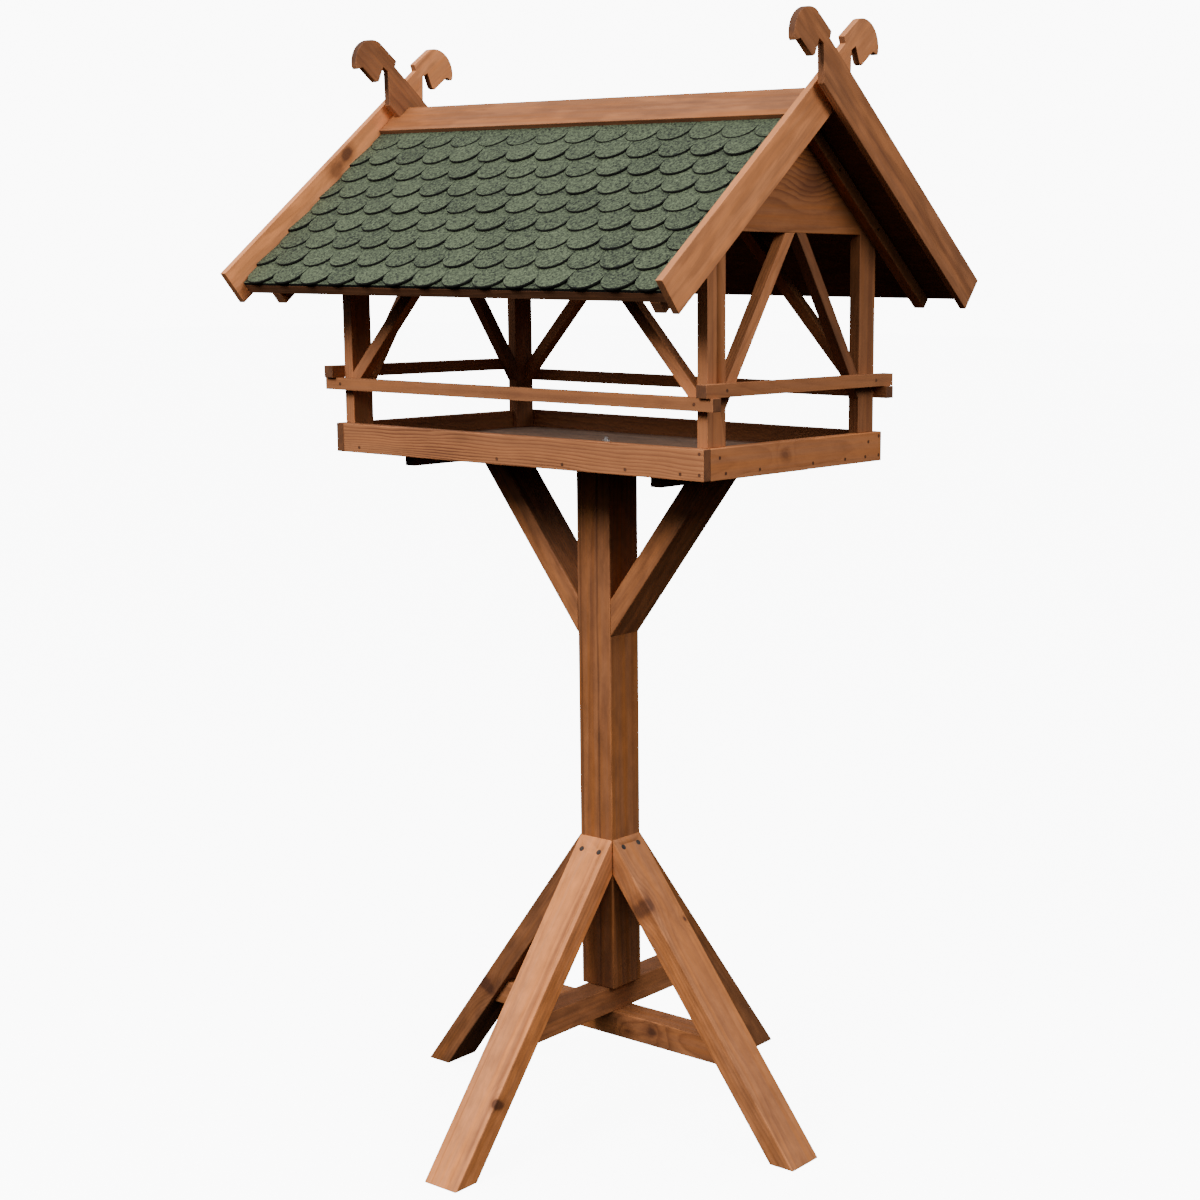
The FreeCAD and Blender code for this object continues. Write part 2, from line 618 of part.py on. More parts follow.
# Barge boards with their horse heads, an inner one and an outer one at each gable
def barge_board(name, start, turn):
    """Make a barge board for the front slope, then turn it."""
    lower, upper = "-Dim.BargeDrop", "Dim.BargeDepth - Dim.BargeDrop"
    tail = f"-({SLOPE_LENGTH} + Dim.BargeOverhang)"
    up_to_crown = [(tail, lower), (NECK_LOWER, lower)] + HEAD_FACE
    corners = up_to_crown + HEAD_BACK + [(NECK_UPPER, upper), (tail, upper)]
    return keep(name, prism(name, "YZ", corners, "Dim.BargeThick", start, turn, in_slope=True,
                            arc_at=len(up_to_crown) - 1, arc_through=HEAD_CROWN))


inner_barge = {}
for slope, low_side, high_side, slope_turn in ROOF_TURNS:
    inner_barge[slope] = barge_board(f"barge_board_{slope}_{high_side}", ROOF_REACH, slope_turn)
    barge_board(f"barge_board_{slope}_{low_side}", f"-({BARGE_OUTER} + Dim.BargeThick)", slope_turn)
crossing_barge = {"front": inner_barge["back"], "back": inner_barge["front"]}


# Deck boards, butted along the slope; the top one is notched for the barge board that crosses it
def deck_outline(index):
    """Return the outline of one deck board, counted from the eave."""
    lower = f"-{SLOPE_LENGTH} * {DECK_BOARDS - index} / {DECK_BOARDS}"
    upper = f"-{SLOPE_LENGTH} * {DECK_BOARDS - index - 1} / {DECK_BOARDS}"
    if index < DECK_BOARDS - 1:
        return [(lower, "0"), (upper, "0"), (upper, "Dim.DeckThick"), (lower, "Dim.DeckThick")]
    plumb = "Dim.DeckThick * tan(Dim.RoofSlope)"
    return [(lower, "0"), ("0", "0"), (plumb, "Dim.DeckThick"), (lower, "Dim.DeckThick")]


for slope, low_side, high_side, slope_turn in ROOF_TURNS:
    for index in range(DECK_BOARDS):
        name = f"deck_board_{slope}_{index + 1}"
        width = f"{ROOF_REACH} + {BARGE_OUTER}"
        piece = prism(name, "YZ", deck_outline(index), width, f"-{BARGE_OUTER}", slope_turn, in_slope=True)
        if index < DECK_BOARDS - 1:
            keep(name, piece)
        else:
            cut(name, piece, crossing_barge[slope])

doc.recompute()


# Shingles: courses of round-ended tabs, each a tilted plate lying on the course below it
def tab_edge(offset):
    """Return how far below the tops of the slots a tab reaches, at an offset from its middle."""
    half_width, depth = value("Dim.TabWidth / 2"), value("Dim.TabDepth")
    radius = (half_width ** 2 + depth ** 2) / (2 * depth)
    return (radius ** 2 - offset ** 2) ** 0.5 - (radius - depth)


def shingle_plate(length, shift):
    """Return a course before it is trimmed, its tabs' tips at y 0 and its underside at z 0."""
    pitch, depth = value("Dim.TabWidth"), value("Dim.TabDepth")
    start = -value(BARGE_OUTER) - shift
    tabs = int(value(f"2 * {BARGE_OUTER} + Dim.TabWidth") / pitch) + 1
    edges = []
    for tab in range(tabs):
        left = start + tab * pitch
        points = [Vector(left + share * pitch, depth - tab_edge((share - 0.5) * pitch), 0)
                  for share in (0, 0.5, 1)]
        edges.append(Part.Arc(*points).toShape())
    end = start + tabs * pitch
    rim = [Vector(end, depth, 0), Vector(end, length, 0), Vector(start, length, 0), Vector(start, depth, 0)]
    edges += [Part.LineSegment(a, b).toShape() for a, b in zip(rim, rim[1:])]
    return Part.Face(Part.Wire(edges)).extrude(Vector(0, 0, value("Dim.ShingleThick")))


def front_shingles():
    """Return the starter strip and all courses of the front slope, trimmed to the roof."""
    thick, exposure = value("Dim.ShingleThick"), value("Dim.ShingleExposure")
    tilt = value("asin(Dim.ShingleThick / Dim.ShingleExposure)")
    eave = value(SLOPE_LENGTH)
    first_tip = eave + value("Dim.ShingleOverhang")
    deck = value("Dim.DeckThick")
    length = 2 * exposure
    courses = int((first_tip + value(f"{RIDGE_TOP} - Dim.RidgeWidth")) / exposure)
    slope = FreeCAD.Placement(Vector(0, 0, value(APEX)), FreeCAD.Rotation(X_AXIS, value("Dim.RoofSlope")))
    low, high = -value(BARGE_OUTER), value(ROOF_REACH)
    field = Part.makeBox(high - low, 2 * eave, 2 * eave, Vector(low, -2 * eave, value(APEX) - eave))
    solids = []
    for course in range(courses):
        plate = shingle_plate(length, value("Dim.TabWidth / 2") if course % 2 else 0)
        butt = Vector(0, -(first_tip - course * exposure), deck + 2 * thick)
        plate.Placement = slope.multiply(FreeCAD.Placement(butt, FreeCAD.Rotation(X_AXIS, -tilt)))
        solids += plate.common(field).Solids
    run = length * value("cos(asin(Dim.ShingleThick / Dim.ShingleExposure))")
    toe = 2 * thick - (first_tip - eave) * 2 * thick / run
    corners = [Vector(low, -eave, deck), Vector(low, run - first_tip, deck), Vector(low, -eave, deck + toe)]
    strip = Part.Face(Part.makePolygon(corners + corners[:1])).extrude(Vector(high - low, 0, 0))
    strip.Placement = slope
    return [strip] + solids


for slope, low_side, high_side, slope_turn in ROOF_TURNS:
    solids = []
    for solid in front_shingles():
        solid.rotate(Vector(0, 0, 0), Z_AXIS, slope_turn)
        solids += solid.cut(crossing_barge[slope].Shape).Solids
    keep(f"shingles_{slope}", group(f"shingles_{slope}", solids))

# Ridge boards, square-edged, lying on the top course and notched for the crossing barge board
ridge_outline = [
    (f"{RIDGE_TOP} - Dim.RidgeWidth", RIDGE_SEAT),
    (RIDGE_TOP, RIDGE_SEAT),
    (RIDGE_TOP, f"{RIDGE_SEAT} + Dim.RidgeThick"),
    (f"{RIDGE_TOP} - Dim.RidgeWidth", f"{RIDGE_SEAT} + Dim.RidgeThick"),
]
for slope, low_side, high_side, slope_turn in ROOF_TURNS:
    name = f"ridge_board_{slope}"
    length = f"{ROOF_REACH} + {BARGE_OUTER}"
    blank = prism(
        f"{name}_blank", "YZ", ridge_outline, length, f"-{BARGE_OUTER}", slope_turn, in_slope=True
    )
    cut(name, blank, crossing_barge[slope])

# Check every object, then write one file for each piece
doc.recompute()
for thing in doc.Objects:
    if "Invalid" in thing.State or "Error" in thing.State:
        raise RuntimeError(f"{thing.Label} failed: {thing.State}")
for name, piece in nodes.items():
    if piece.Shape.isNull() or not piece.Shape.isValid() or not piece.Shape.Solids:
        raise RuntimeError(f"{name} has no valid shape")

os.makedirs("parts", exist_ok=True)
for name, piece in nodes.items():
    piece.Shape.exportStep(os.path.join("parts", f"{name}.step"))
    print(name, len(piece.Shape.Solids), round(piece.Shape.Volume / 1000, 1), "cm3")
print(len(nodes), "nodes")
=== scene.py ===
"""Looks of the bird table: stained pine boards, bitumen shingles, fixings, light and camera.

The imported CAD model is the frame.  Lengths are in metres and angles in degrees, +Z is up,
the ridge runs along X, and the origin lies on the ground under the middle of the post.
"""
import logging
import math
import random
from dataclasses import dataclass, field
from enum import Enum
from typing import Any, Callable, Iterable, Iterator, Sequence

import bmesh
import bpy
from mathutils import Matrix, Vector


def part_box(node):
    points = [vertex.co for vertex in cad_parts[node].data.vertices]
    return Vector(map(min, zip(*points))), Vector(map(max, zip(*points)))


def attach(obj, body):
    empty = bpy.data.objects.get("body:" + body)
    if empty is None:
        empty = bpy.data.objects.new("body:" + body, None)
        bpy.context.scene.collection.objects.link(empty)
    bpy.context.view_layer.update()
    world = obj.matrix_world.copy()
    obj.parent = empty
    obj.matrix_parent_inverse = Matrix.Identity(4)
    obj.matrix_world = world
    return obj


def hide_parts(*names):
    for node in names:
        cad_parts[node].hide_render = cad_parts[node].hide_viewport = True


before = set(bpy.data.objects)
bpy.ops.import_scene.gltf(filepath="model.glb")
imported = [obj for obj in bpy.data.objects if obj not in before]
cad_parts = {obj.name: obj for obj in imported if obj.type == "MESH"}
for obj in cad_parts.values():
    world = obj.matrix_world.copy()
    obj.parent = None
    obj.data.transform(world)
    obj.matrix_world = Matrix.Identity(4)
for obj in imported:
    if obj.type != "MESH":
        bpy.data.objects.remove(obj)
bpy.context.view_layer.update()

LOG = logging.getLogger("bird_table")
BODY = "root"
Colour = tuple[float, float, float]
Point = tuple[float, float, float]
MM = 0.001
MERGE_REACH = 0.02 * MM  # vertices nearer than this are one
FLAT_ANGLE = math.radians(0.4)  # faces that meet flatter than this are one
SHARP_ANGLE = math.radians(25)  # edges sharper than this are eased
NOISE_MEAN = 0.5
NOISE_REACH = 0.25  # how far a noise strays from its mean
SIDES = (("right", 1), ("left", -1))  # the words in the nodes' names, and their signs along X
FACES = (("front", -1), ("back", 1))  # and along Y


class Slope(Enum):
    """One side of the roof, with its half turn about Z from the front one."""

    FRONT = ("front", 0.0)
    BACK = ("back", 180.0)

    @property
    def word(self) -> str:
        """Return the word that the slope's nodes carry."""
        return self.value[0]

    @property
    def turn(self) -> Matrix:
        """Return the turn about Z that brings the front slope onto this one."""
        return Matrix.Rotation(math.radians(self.value[1]), 4, "Z")


class Slot(Enum):
    """The record's material slots."""

    HOUSE = "house_pine"
    STAND = "stand_pine"
    SHINGLE = "bitumen_shingle"


# Shader graphs


@dataclass
class Socket:
    """An output in a shader graph that can be used in arithmetic."""

    graph: "Graph"
    link: Any

    def math(self, operation: str, *others: Any) -> "Socket":
        """Return a Math node's result on this value and others.

        Args:
            operation: the Math node's operation.
            others: sockets or numbers for its other inputs.

        Returns:
            The node's output.
        """
        sockets = dict(enumerate((self, *others)))
        return self.graph.add("ShaderNodeMath", {"operation": operation}, sockets)

    def __add__(self, other: Any) -> "Socket":
        """Return this value plus another."""
        return self.math("ADD", other)

    def __sub__(self, other: Any) -> "Socket":
        """Return this value less another."""
        return self.math("SUBTRACT", other)

    def __rsub__(self, other: float) -> "Socket":
        """Return a number less this value."""
        return self.graph.add("ShaderNodeMath", {"operation": "SUBTRACT"}, {0: other, 1: self})

    def __mul__(self, other: Any) -> "Socket":
        """Return this value times another."""
        return self.math("MULTIPLY", other)

    def __truediv__(self, other: Any) -> "Socket":
        """Return this value divided by another."""
        return self.math("DIVIDE", other)

    __radd__ = __add__
    __rmul__ = __mul__

    def band(self, low: float, high: float) -> "Socket":
        """Return a smooth step of this value.

        Args:
            low: where the step is 0.
            high: where it is 1, which may be the lower of the two.

        Returns:
            The step, from 0 to 1.
        """
        settings = {"interpolation_type": "SMOOTHSTEP", "clamp": True}
        if low < high:
            return self.graph.add("ShaderNodeMapRange", settings, {0: self, 1: low, 2: high})
        return 1 - self.band(high, low)


class Graph:
    """A material's node tree, written as expressions."""

    def __init__(self, name: str) -> None:
        """Make a material with an empty tree.

        Args:
            name: the material's name.
        """
        self.material = bpy.data.materials.new(name)
        self.material.use_nodes = True
        self.tree = self.material.node_tree
        self.tree.nodes.clear()

    def add(self, kind: str, settings: dict[str, Any] | None = None,
            sockets: dict[Any, Any] | None = None, output: Any = 0) -> Socket:
        """Add a node.

        Args:
            kind: the node's type.
            settings: its properties, set first; "stops" fills a colour ramp.
            sockets: values or sockets for its inputs, by name or index.
            output: the output wanted, by name or index.

        Returns:
            That output.
        """
        node = self.tree.nodes.new(kind)
        for name, setting in (settings or {}).items():
            if name == "stops":
                self.fill_ramp(node.color_ramp, setting)
            else:
                setattr(node, name, setting)
        for name, given in (sockets or {}).items():
            if isinstance(given, Socket):
                self.tree.links.new(given.link, node.inputs[name])
            elif isinstance(given, tuple) and len(given) == 3 and node.inputs[name].type == "RGBA":
                node.inputs[name].default_value = (*given, 1.0)
            else:
                node.inputs[name].default_value = given
        return Socket(self, node.outputs[output])

    @staticmethod
    def fill_ramp(ramp: bpy.types.ColorRamp, stops: Sequence[tuple[float, float]]) -> None:
        """Give a colour ramp its grey stops.

        Args:
            ramp: the ramp.
            stops: each stop's place and brightness, both from 0 to 1.
        """
        while len(ramp.elements) < len(stops):
            ramp.elements.new(0.5)
        for element, (place, grey) in zip(ramp.elements, stops):
            element.position = place
            element.color = (grey, grey, grey, 1.0)

    def place(self) -> Socket:
        """Return the piece's own coordinates."""
        return self.add("ShaderNodeTexCoord", output="Object")

    def vector(self, operation: str, *inputs: Any, output: Any = 0) -> Socket:
        """Return a Vector Math node's result.

        Args:
            operation: the node's operation.
            inputs: vectors, as sockets or tuples.
            output: the output wanted, "Value" where the result is a number.

        Returns:
            That output.
        """
        return self.add("ShaderNodeVectorMath", {"operation": operation},
                        dict(enumerate(inputs)), output)

    def split(self, vector: Socket) -> list[Socket]:
        """Return a vector's three numbers."""
        node = self.add("ShaderNodeSeparateXYZ", {}, {0: vector}).link.node
        return [Socket(self, output) for output in node.outputs]

    def attribute(self, name: str) -> Socket:
        """Return a number kept on the mesh."""
        return self.add("ShaderNodeAttribute", {"attribute_name": name}, output="Fac")

    def noise(self, place: Socket, stretch: Point, detail: float = 2.0,
              output: str = "Fac", rough: float = 0.5) -> Socket:
        """Return noise.

        Args:
            place: the coordinates that it is read at.
            stretch: how many features it has to the metre along each axis.
            detail: how many finer octaves it has.
            output: "Fac" for a number or "Color" for a vector.
            rough: how strong each finer octave is.

        Returns:
            That output.
        """
        where = self.vector("MULTIPLY", place, stretch)
        values = {"Vector": where, "Scale": 1.0, "Detail": detail, "Roughness": rough}
        return self.add("ShaderNodeTexNoise", {"noise_dimensions": "3D"}, values, output)

    def mix(self, factor: Any, first: Any, second: Any) -> Socket:
        """Return the first colour where the factor is 0, the second where it is 1."""
        return self.add("ShaderNodeMix", {"data_type": "RGBA", "clamp_factor": True},
                        {0: factor, 6: first, 7: second}, 2)

    def scale(self, colour: Socket | Colour, factor: Socket) -> Socket:
        """Return a colour made lighter or darker by a factor."""
        return self.add("ShaderNodeVectorMath", {"operation": "SCALE"},
                        {0: colour, "Scale": factor})

    def finish(self, shader: dict[str, Any], height: Socket | None = None,
               depth: float = 0.0) -> bpy.types.Material:
        """Close the tree with a Principled shader.

        Args:
            shader: the shader's inputs.
            height: the surface's relief from 0 to 1, if it has any.
            depth: the relief's height in metres.

        Returns:
            The material.
        """
        inputs = dict(shader)
        if height is not None:
            inputs["Normal"] = self.add("ShaderNodeBump", {},
                                        {"Height": height, "Distance": depth, "Strength": 1.0})
        surface = self.add("ShaderNodeBsdfPrincipled", {}, inputs)
        output = self.tree.nodes.new("ShaderNodeOutputMaterial")
        self.tree.links.new(surface.link, output.inputs["Surface"])
        return self.material


# Boards and finishes


@dataclass(frozen=True)
class Knot:
    """A knot on a board.

    Attributes:
        along: its place from the board's middle along the grain.
        across: its place from the board's middle across the grain.
        size: the radius of its dark heart.
        dark: how strongly the heart shows, from 0 to 1.
    """

    along: float
    across: float
    size: float = 0.006
    dark: float = 0.8


@dataclass(frozen=True)
class Board:
    """A sawn board of the frame and the way its wood grows.

    Attributes:
        node: the CAD node.
        along: the grain's direction.
        face: the direction that the board's wide face looks in.
        tone: how light the stain has dried on it, and on boards that lie in light or in shade also
            painted light or painted shade.
        figure: how strongly the growth rings show.
        amber: how much of it the stain's warmer colour takes.
        vein: how strongly long dark streaks show.
        runout: how far the rings lean towards the face, as a slope.
        wave: how much the rings wander.
        ring: the width of one ring.
        pith: the log's middle, across the board from its own, or None for a random one.
        edge: the tone of the narrow sides beside the face's, which paints shade on the narrow
            sides of the ridge boards and the front leg.
        knots: the knots that show.
        cracks: where drying cracks run, across the board from its middle.
        finish: the stain, if it isn't the group's own.
    """

    node: str
    along: Point
    face: Point
    tone: float = 1.0
    figure: float = 0.45
    amber: float = 0.4
    vein: float = 0.25
    runout: float = 0.02
    wave: float = 0.6
    ring: float = 0.0042
    pith: float | None = None
    edge: float = 1.0
    knots: tuple[Knot, ...] = ()
    cracks: tuple[float, ...] = ()
    finish: "StainedPine | None" = None

    def axes(self) -> Matrix:
        """Work out the board's own axes.

        Returns:
            A matrix whose columns are the directions of the grain, the width and the face.
        """
        along = Vector(self.along).normalized()
        face = Vector(self.face).normalized()
        across = face.cross(along)
        return Matrix((along, across, face)).transposed()

    def middle(self) -> Vector:
        """Return the middle of the node's box."""
        low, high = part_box(self.node)
        return (low + high) / 2


class Grain(Enum):
    """The noises in the wood.

    Each has its features to the metre along and across the grain, its octaves and its roughness.
    """

    MOTTLE = (28.0, 55.0, 3.0, 0.6)
    SWERVE = (1.1, 6.0, 1.0, 0.5)
    RIPPLE = (7.0, 45.0, 2.0, 0.5)
    WANDER = (3.2, 9.0, 2.0, 0.5)
    PATCH = (3.0, 14.0, 1.0, 0.5)
    FIBRE = (16.0, 620.0, 3.0, 0.62)
    STREAK = (2.0, 95.0, 2.0, 0.6)
    BLOTCH = (4.5, 13.0, 3.0, 0.5)
    VEIN = (0.9, 75.0, 2.0, 0.5)
    WAVER = (4.0, 0.0, 2.0, 0.5)
    RUB_HIGHLIGHT = (14.0, 60.0, 2.0, 0.5)


@dataclass(frozen=True)
class StainedPine:
    """Sawn pine under a red-brown wood stain."""

    early: Colour  # on the pale early wood
    amber: Colour  # the same, where it is warmer
    late: Colour  # on the dark late wood
    knot: Colour  # on a knot's heart
    rough: float = 0.70
    gloss: float = 0.3
    mottled: float = 0.4  # how uneven the stain is from patch to patch
    end_grain: float = 0.36  # the tone of the sawn ends beside the face's
    edge_wear_and_highlight: float = 1.30  # the tone of the rounded edges beside the face's: rubbed stain and a painted highlight
    relief: float = 0.35 * MM  # the height of fibres and rings

    def dress(self, board: Board, piece: bpy.types.Object) -> None:
        """Give a board's piece this finish, in a material of its own."""
        piece.data.materials.clear()
        piece.data.materials.append(PineGraph(board, self).compose())


class PineGraph(Graph):
    """The node tree of one board, in the board's own axes.

    The rings lie round a pith line behind the board's face and run through the solid.  The
    line's place, and the place that the noises are read at, are drawn at random, so that no two
    boards look alike.
    """

    RING_STOPS = ((0.0, 0.45), (0.07, 0.0), (0.45, 0.12), (0.82, 0.75), (0.93, 1.0), (1.0, 0.45))
    FAR = 50.0  # metres, the reach within which noises are read
    ASKEW = 2.0 * MM  # greatest shift of a board's axes
    PITH_REACH = 0.03  # how far aside of a board the pith may lie
    PITH_DEPTH = (0.025, 0.06)  # how far behind the board's middle the pith lies
    LEAN_SHARE = (0.8, 1.2)  # least and greatest share of the board's runout
    SWERVE_ASIDE = 0.06  # how far the pith wanders across the board
    SWERVE_DEEP = 0.05  # and in depth
    RIPPLE_RINGS = 0.3  # how many rings the ripple bends straight wood by
    WANDER_RINGS = 3.0  # how many rings the wander bends wavy wood by
    PATCH_BAND = (0.42, 0.6)  # the noise's values from a faint patch to a strong one
    PATCH_FAINT = 0.45  # the rings' strength in a faint patch
    PATCH_MORE = 0.65  # and how much more it is in a strong one
    RING_DARK = 0.62  # how much of the late wood's colour a ring takes
    FLAT_BAND = (0.5, 0.8)  # how squarely a surface faces, from narrow side to wide face
    VEIN_BAND = (0.57, 0.72)  # the noise's values from clear wood to a vein
    VEIN_SIDES = 0.2  # share of the veins' strength on the narrow sides
    WARM_STREAK = 0.6  # share of the streaks in where the stain is warm
    WARM_BLOTCH = 0.4  # share of the blotches in it
    WARM_BAND = (0.38, 0.62)  # the sum's values from the early colour to the amber one
    TONE_LEAST = 0.35  # the tone before these add to it
    TONE_FIBRE = 0.3
    TONE_STREAK = 0.45
    TONE_BLOTCH = 0.55
    KNOT_SHAPE = (0.72, 1.0, 0.3)  # a knot reaches further along the grain and in depth
    KNOT_SPREAD = 2.4  # how far a knot bends the rings, in its own sizes
    KNOT_BEND = 2.6  # how many rings it bends them by
    KNOT_RING = 1.3 * MM  # the width of a ring in its heart
    KNOT_RIPPLE = 2  # how many rings the ripple bends those by
    KNOT_LEAST = 0.55  # their darkest tone beside the heart's
    KNOT_MORE = 0.5  # and how much lighter they get
    HALO = (2.2, 0.6)  # where a knot's halo ends and where it is full, in the knot's sizes
    HALO_DARK = 0.45  # how much of the late wood's colour it takes
    HEART = (1.15, 0.6)  # where a knot's heart ends and where it is full
    CRACK_BLUR = 2.8 * MM  # half the width of the dark along a crack
    CRACK_CORE = 0.6 * MM  # half the width of its darkest part
    CRACK_WAVER = 12.0 * MM  # how far it strays from its line
    CRACK_FADE = 1.2  # how much it comes and goes along its line
    CRACK_DARK = 0.7  # how dark it is
    END_BAND = (0.6, 0.85)  # how squarely a surface faces the grain, from side to sawn end
    RUB_HIGHLIGHT_BAND = (0.42, 0.62)  # the noise's values from a plain edge to a rubbed edge with its painted highlight
    FIBRE_HEIGHT = 0.6  # share of the fibres in the relief
    RING_HEIGHT = 0.4  # share of the rings in it
    FIBRE_ROUGH = 0.16  # how much rougher the fibres make the stain
    RING_SMOOTH = 0.06  # how much smoother the rings make it

    def __init__(self, board: Board, stain: StainedPine) -> None:
        """Set the board's axes and draw where it was sawn from the log.

        Args:
            board: the board.
            stain: its finish.
        """
        super().__init__(f"pine_{board.node}")
        self.board = board
        self.stain = stain
        draw = random.Random(board.node)
        start = board.middle() + Vector([draw.uniform(-self.ASKEW, self.ASKEW) for _ in range(3)])
        self.here = self.add("ShaderNodeMapping", {"vector_type": "TEXTURE"}, {
            "Vector": self.place(), "Location": tuple(start),
            "Rotation": tuple(board.axes().to_euler())})
        self.sample = self.vector(
            "ADD", self.here, tuple(draw.uniform(-self.FAR, self.FAR) for _ in range(3)))
        pith = board.pith
        if pith is None:
            pith = draw.uniform(-self.PITH_REACH, self.PITH_REACH)
        self.along, self.across, depth = self.split(self.here)
        self.aside = self.across - pith
        self.behind = depth + draw.uniform(*self.PITH_DEPTH)
        self.lean = board.runout * draw.choice((-1.0, 1.0)) * draw.uniform(*self.LEAN_SHARE)
        self.normal = self.add("ShaderNodeTexCoord", output="Normal")
        self.flat = self.facing(board.face).band(*self.FLAT_BAND)
        self.mottle = self.texture(Grain.MOTTLE)
        self.ripple = self.texture(Grain.RIPPLE)
        self.fibre = self.texture(Grain.FIBRE)

    def texture(self, grain: Grain, output: str = "Fac") -> Socket:
        """Return one of the wood's noises."""
        along, across, octaves, rough = grain.value
        return self.noise(self.sample, (along, across, across), octaves, output, rough)

    def facing(self, direction: Point) -> Socket:
        """Return how squarely a surface looks along a direction, either way, from 0 to 1."""
        towards = tuple(Vector(direction).normalized())
        return self.vector("DOT_PRODUCT", self.normal, towards, output="Value").math("ABSOLUTE")

    def distance(self, knot: Knot) -> Socket:
        """Measure the distance from a knot, uneven like the wood round it.

        Args:
            knot: the knot.

        Returns:
            The distance in metres, as if the knot were round.
        """
        offset = self.vector("SUBTRACT", self.here, (knot.along, knot.across, 0.0))
        offset = self.vector("MULTIPLY", offset, self.KNOT_SHAPE)
        length = self.vector("LENGTH", offset, output="Value")
        return length + (self.mottle - NOISE_MEAN) * knot.size

    def rings(self, distances: Sequence[Socket]) -> Socket:
        """Return the growth rings.

        Args:
            distances: the distance from each of the board's knots, which bend the rings.

        Returns:
            0 in the pale early wood, and up to 1 in the dark late wood.
        """
        swerve = self.vector("SUBTRACT", self.texture(Grain.SWERVE, "Color"), (NOISE_MEAN,) * 3)
        _, bend, lift = self.split(swerve)
        side = self.aside + bend * self.SWERVE_ASIDE
        rise = self.behind + lift * self.SWERVE_DEEP + self.along * self.lean
        radius = (side * side + rise * rise).math("SQRT")
        wave = self.board.wave
        phase = radius / self.board.ring + self.ripple * (self.RIPPLE_RINGS + wave)
        phase = phase + self.texture(Grain.WANDER) * (self.WANDER_RINGS * wave)
        for knot, distance in zip(self.board.knots, distances):
            spread = (distance * distance) * (-1 / (self.KNOT_SPREAD * knot.size) ** 2)
            phase = phase + spread.math("EXPONENT") * self.KNOT_BEND
        ring = self.add("ShaderNodeValToRGB", {"stops": self.RING_STOPS}, {0: phase.math("FRACT")})
        patch = self.texture(Grain.PATCH).band(*self.PATCH_BAND)
        return ring * (patch * self.PATCH_MORE + self.PATCH_FAINT)

    def clear_wood(self, ring: Socket) -> Socket:
        """Colour the wood, without its knots, cracks and wear.

        Args:
            ring: the growth rings.

        Returns:
            The colour.
        """
        board, stain = self.board, self.stain
        streak = self.texture(Grain.STREAK)
        blotch = self.texture(Grain.BLOTCH)
        vein = self.texture(Grain.VEIN).band(*self.VEIN_BAND)
        warm = (streak * self.WARM_STREAK + blotch * self.WARM_BLOTCH).band(*self.WARM_BAND)
        colour = self.mix(warm * board.amber, stain.early, stain.amber)
        colour = self.mix(ring * (self.RING_DARK * board.figure), colour, stain.late)
        veined = self.flat * (1 - self.VEIN_SIDES) + self.VEIN_SIDES
        colour = self.mix(vein * veined * board.vein, colour, stain.late)
        tone = self.fibre * self.TONE_FIBRE + streak * self.TONE_STREAK
        tone = tone + blotch * self.TONE_BLOTCH
        tone = tone + self.mottle * stain.mottled + (self.TONE_LEAST - stain.mottled / 2)
        # board.tone and board.edge scale the colour; on some boards they are painted light and
        # painted shade
        colour = self.scale(colour, tone * board.tone)
        return self.scale(colour, self.flat * (1 - board.edge) + board.edge)

    def add_knot(self, colour: Socket, knot: Knot, distance: Socket) -> Socket:
        """Put a knot on the wood: a soft halo and a ringed heart.

        Args:
            colour: the wood's colour.
            knot: the knot.
            distance: the distance from it.

        Returns:
            The colour with the knot.
        """
        halo = distance.band(*(reach * knot.size for reach in self.HALO))
        colour = self.mix(halo * self.HALO_DARK, colour, self.stain.late)
        heart = distance.band(*(reach * knot.size for reach in self.HEART))
        turns = (distance / self.KNOT_RING + self.ripple * self.KNOT_RIPPLE).math("FRACT")
        tone = turns * self.KNOT_MORE + self.KNOT_LEAST
        return self.mix(heart * knot.dark, colour, self.scale(self.stain.knot, tone))

    def add_crack(self, colour: Socket, crack: float) -> Socket:
        """Draw a dark drying crack along the grain of the wide faces.

        Args:
            colour: the wood's colour.
            crack: the crack's place across the board, from its middle.

        Returns:
            The colour with the crack.
        """
        waver = self.texture(Grain.WAVER)
        gap = (self.across + (waver - NOISE_MEAN) * self.CRACK_WAVER - crack).math("ABSOLUTE")
        line = gap.band(self.CRACK_BLUR, self.CRACK_CORE) * (waver * self.CRACK_FADE)
        return self.scale(colour, 1 - line * self.flat * self.CRACK_DARK)

    def weather_and_highlight(self, colour: Socket) -> Socket:
        """Darken the sawn ends, and lighten the rounded edges as rubbed stain and painted
        highlight.

        Args:
            colour: the wood's colour.

        Returns:
            The colour of the weathered wood.
        """
        end = self.facing(self.board.along).band(*self.END_BAND)
        colour = self.scale(colour, 1 - end * (1 - self.stain.end_grain))
        # The rounded edges are lightened: partly rubbed stain, partly a painted highlight.
        rub_and_highlight = self.attribute("rim_wear_and_highlight") * self.texture(Grain.RUB_HIGHLIGHT).band(*self.RUB_HIGHLIGHT_BAND)
        return self.scale(colour, 1 + rub_and_highlight * (self.stain.edge_wear_and_highlight - 1))

    def compose(self) -> bpy.types.Material:
        """Build the whole finish.

        Returns:
            The board's material.
        """
        distances = [self.distance(knot) for knot in self.board.knots]
        ring = self.rings(distances)
        colour = self.clear_wood(ring)
        for knot, distance in zip(self.board.knots, distances):
            colour = self.add_knot(colour, knot, distance)
        for crack in self.board.cracks:
            colour = self.add_crack(colour, crack)
        height = self.fibre * self.FIBRE_HEIGHT + ring * self.RING_HEIGHT
        shine = self.stain.rough + self.fibre * self.FIBRE_ROUGH - ring * self.RING_SMOOTH
        return self.finish({"Base Color": self.weather_and_highlight(colour), "Roughness": shine,
                            "Specular IOR Level": self.stain.gloss}, height, self.stain.relief)


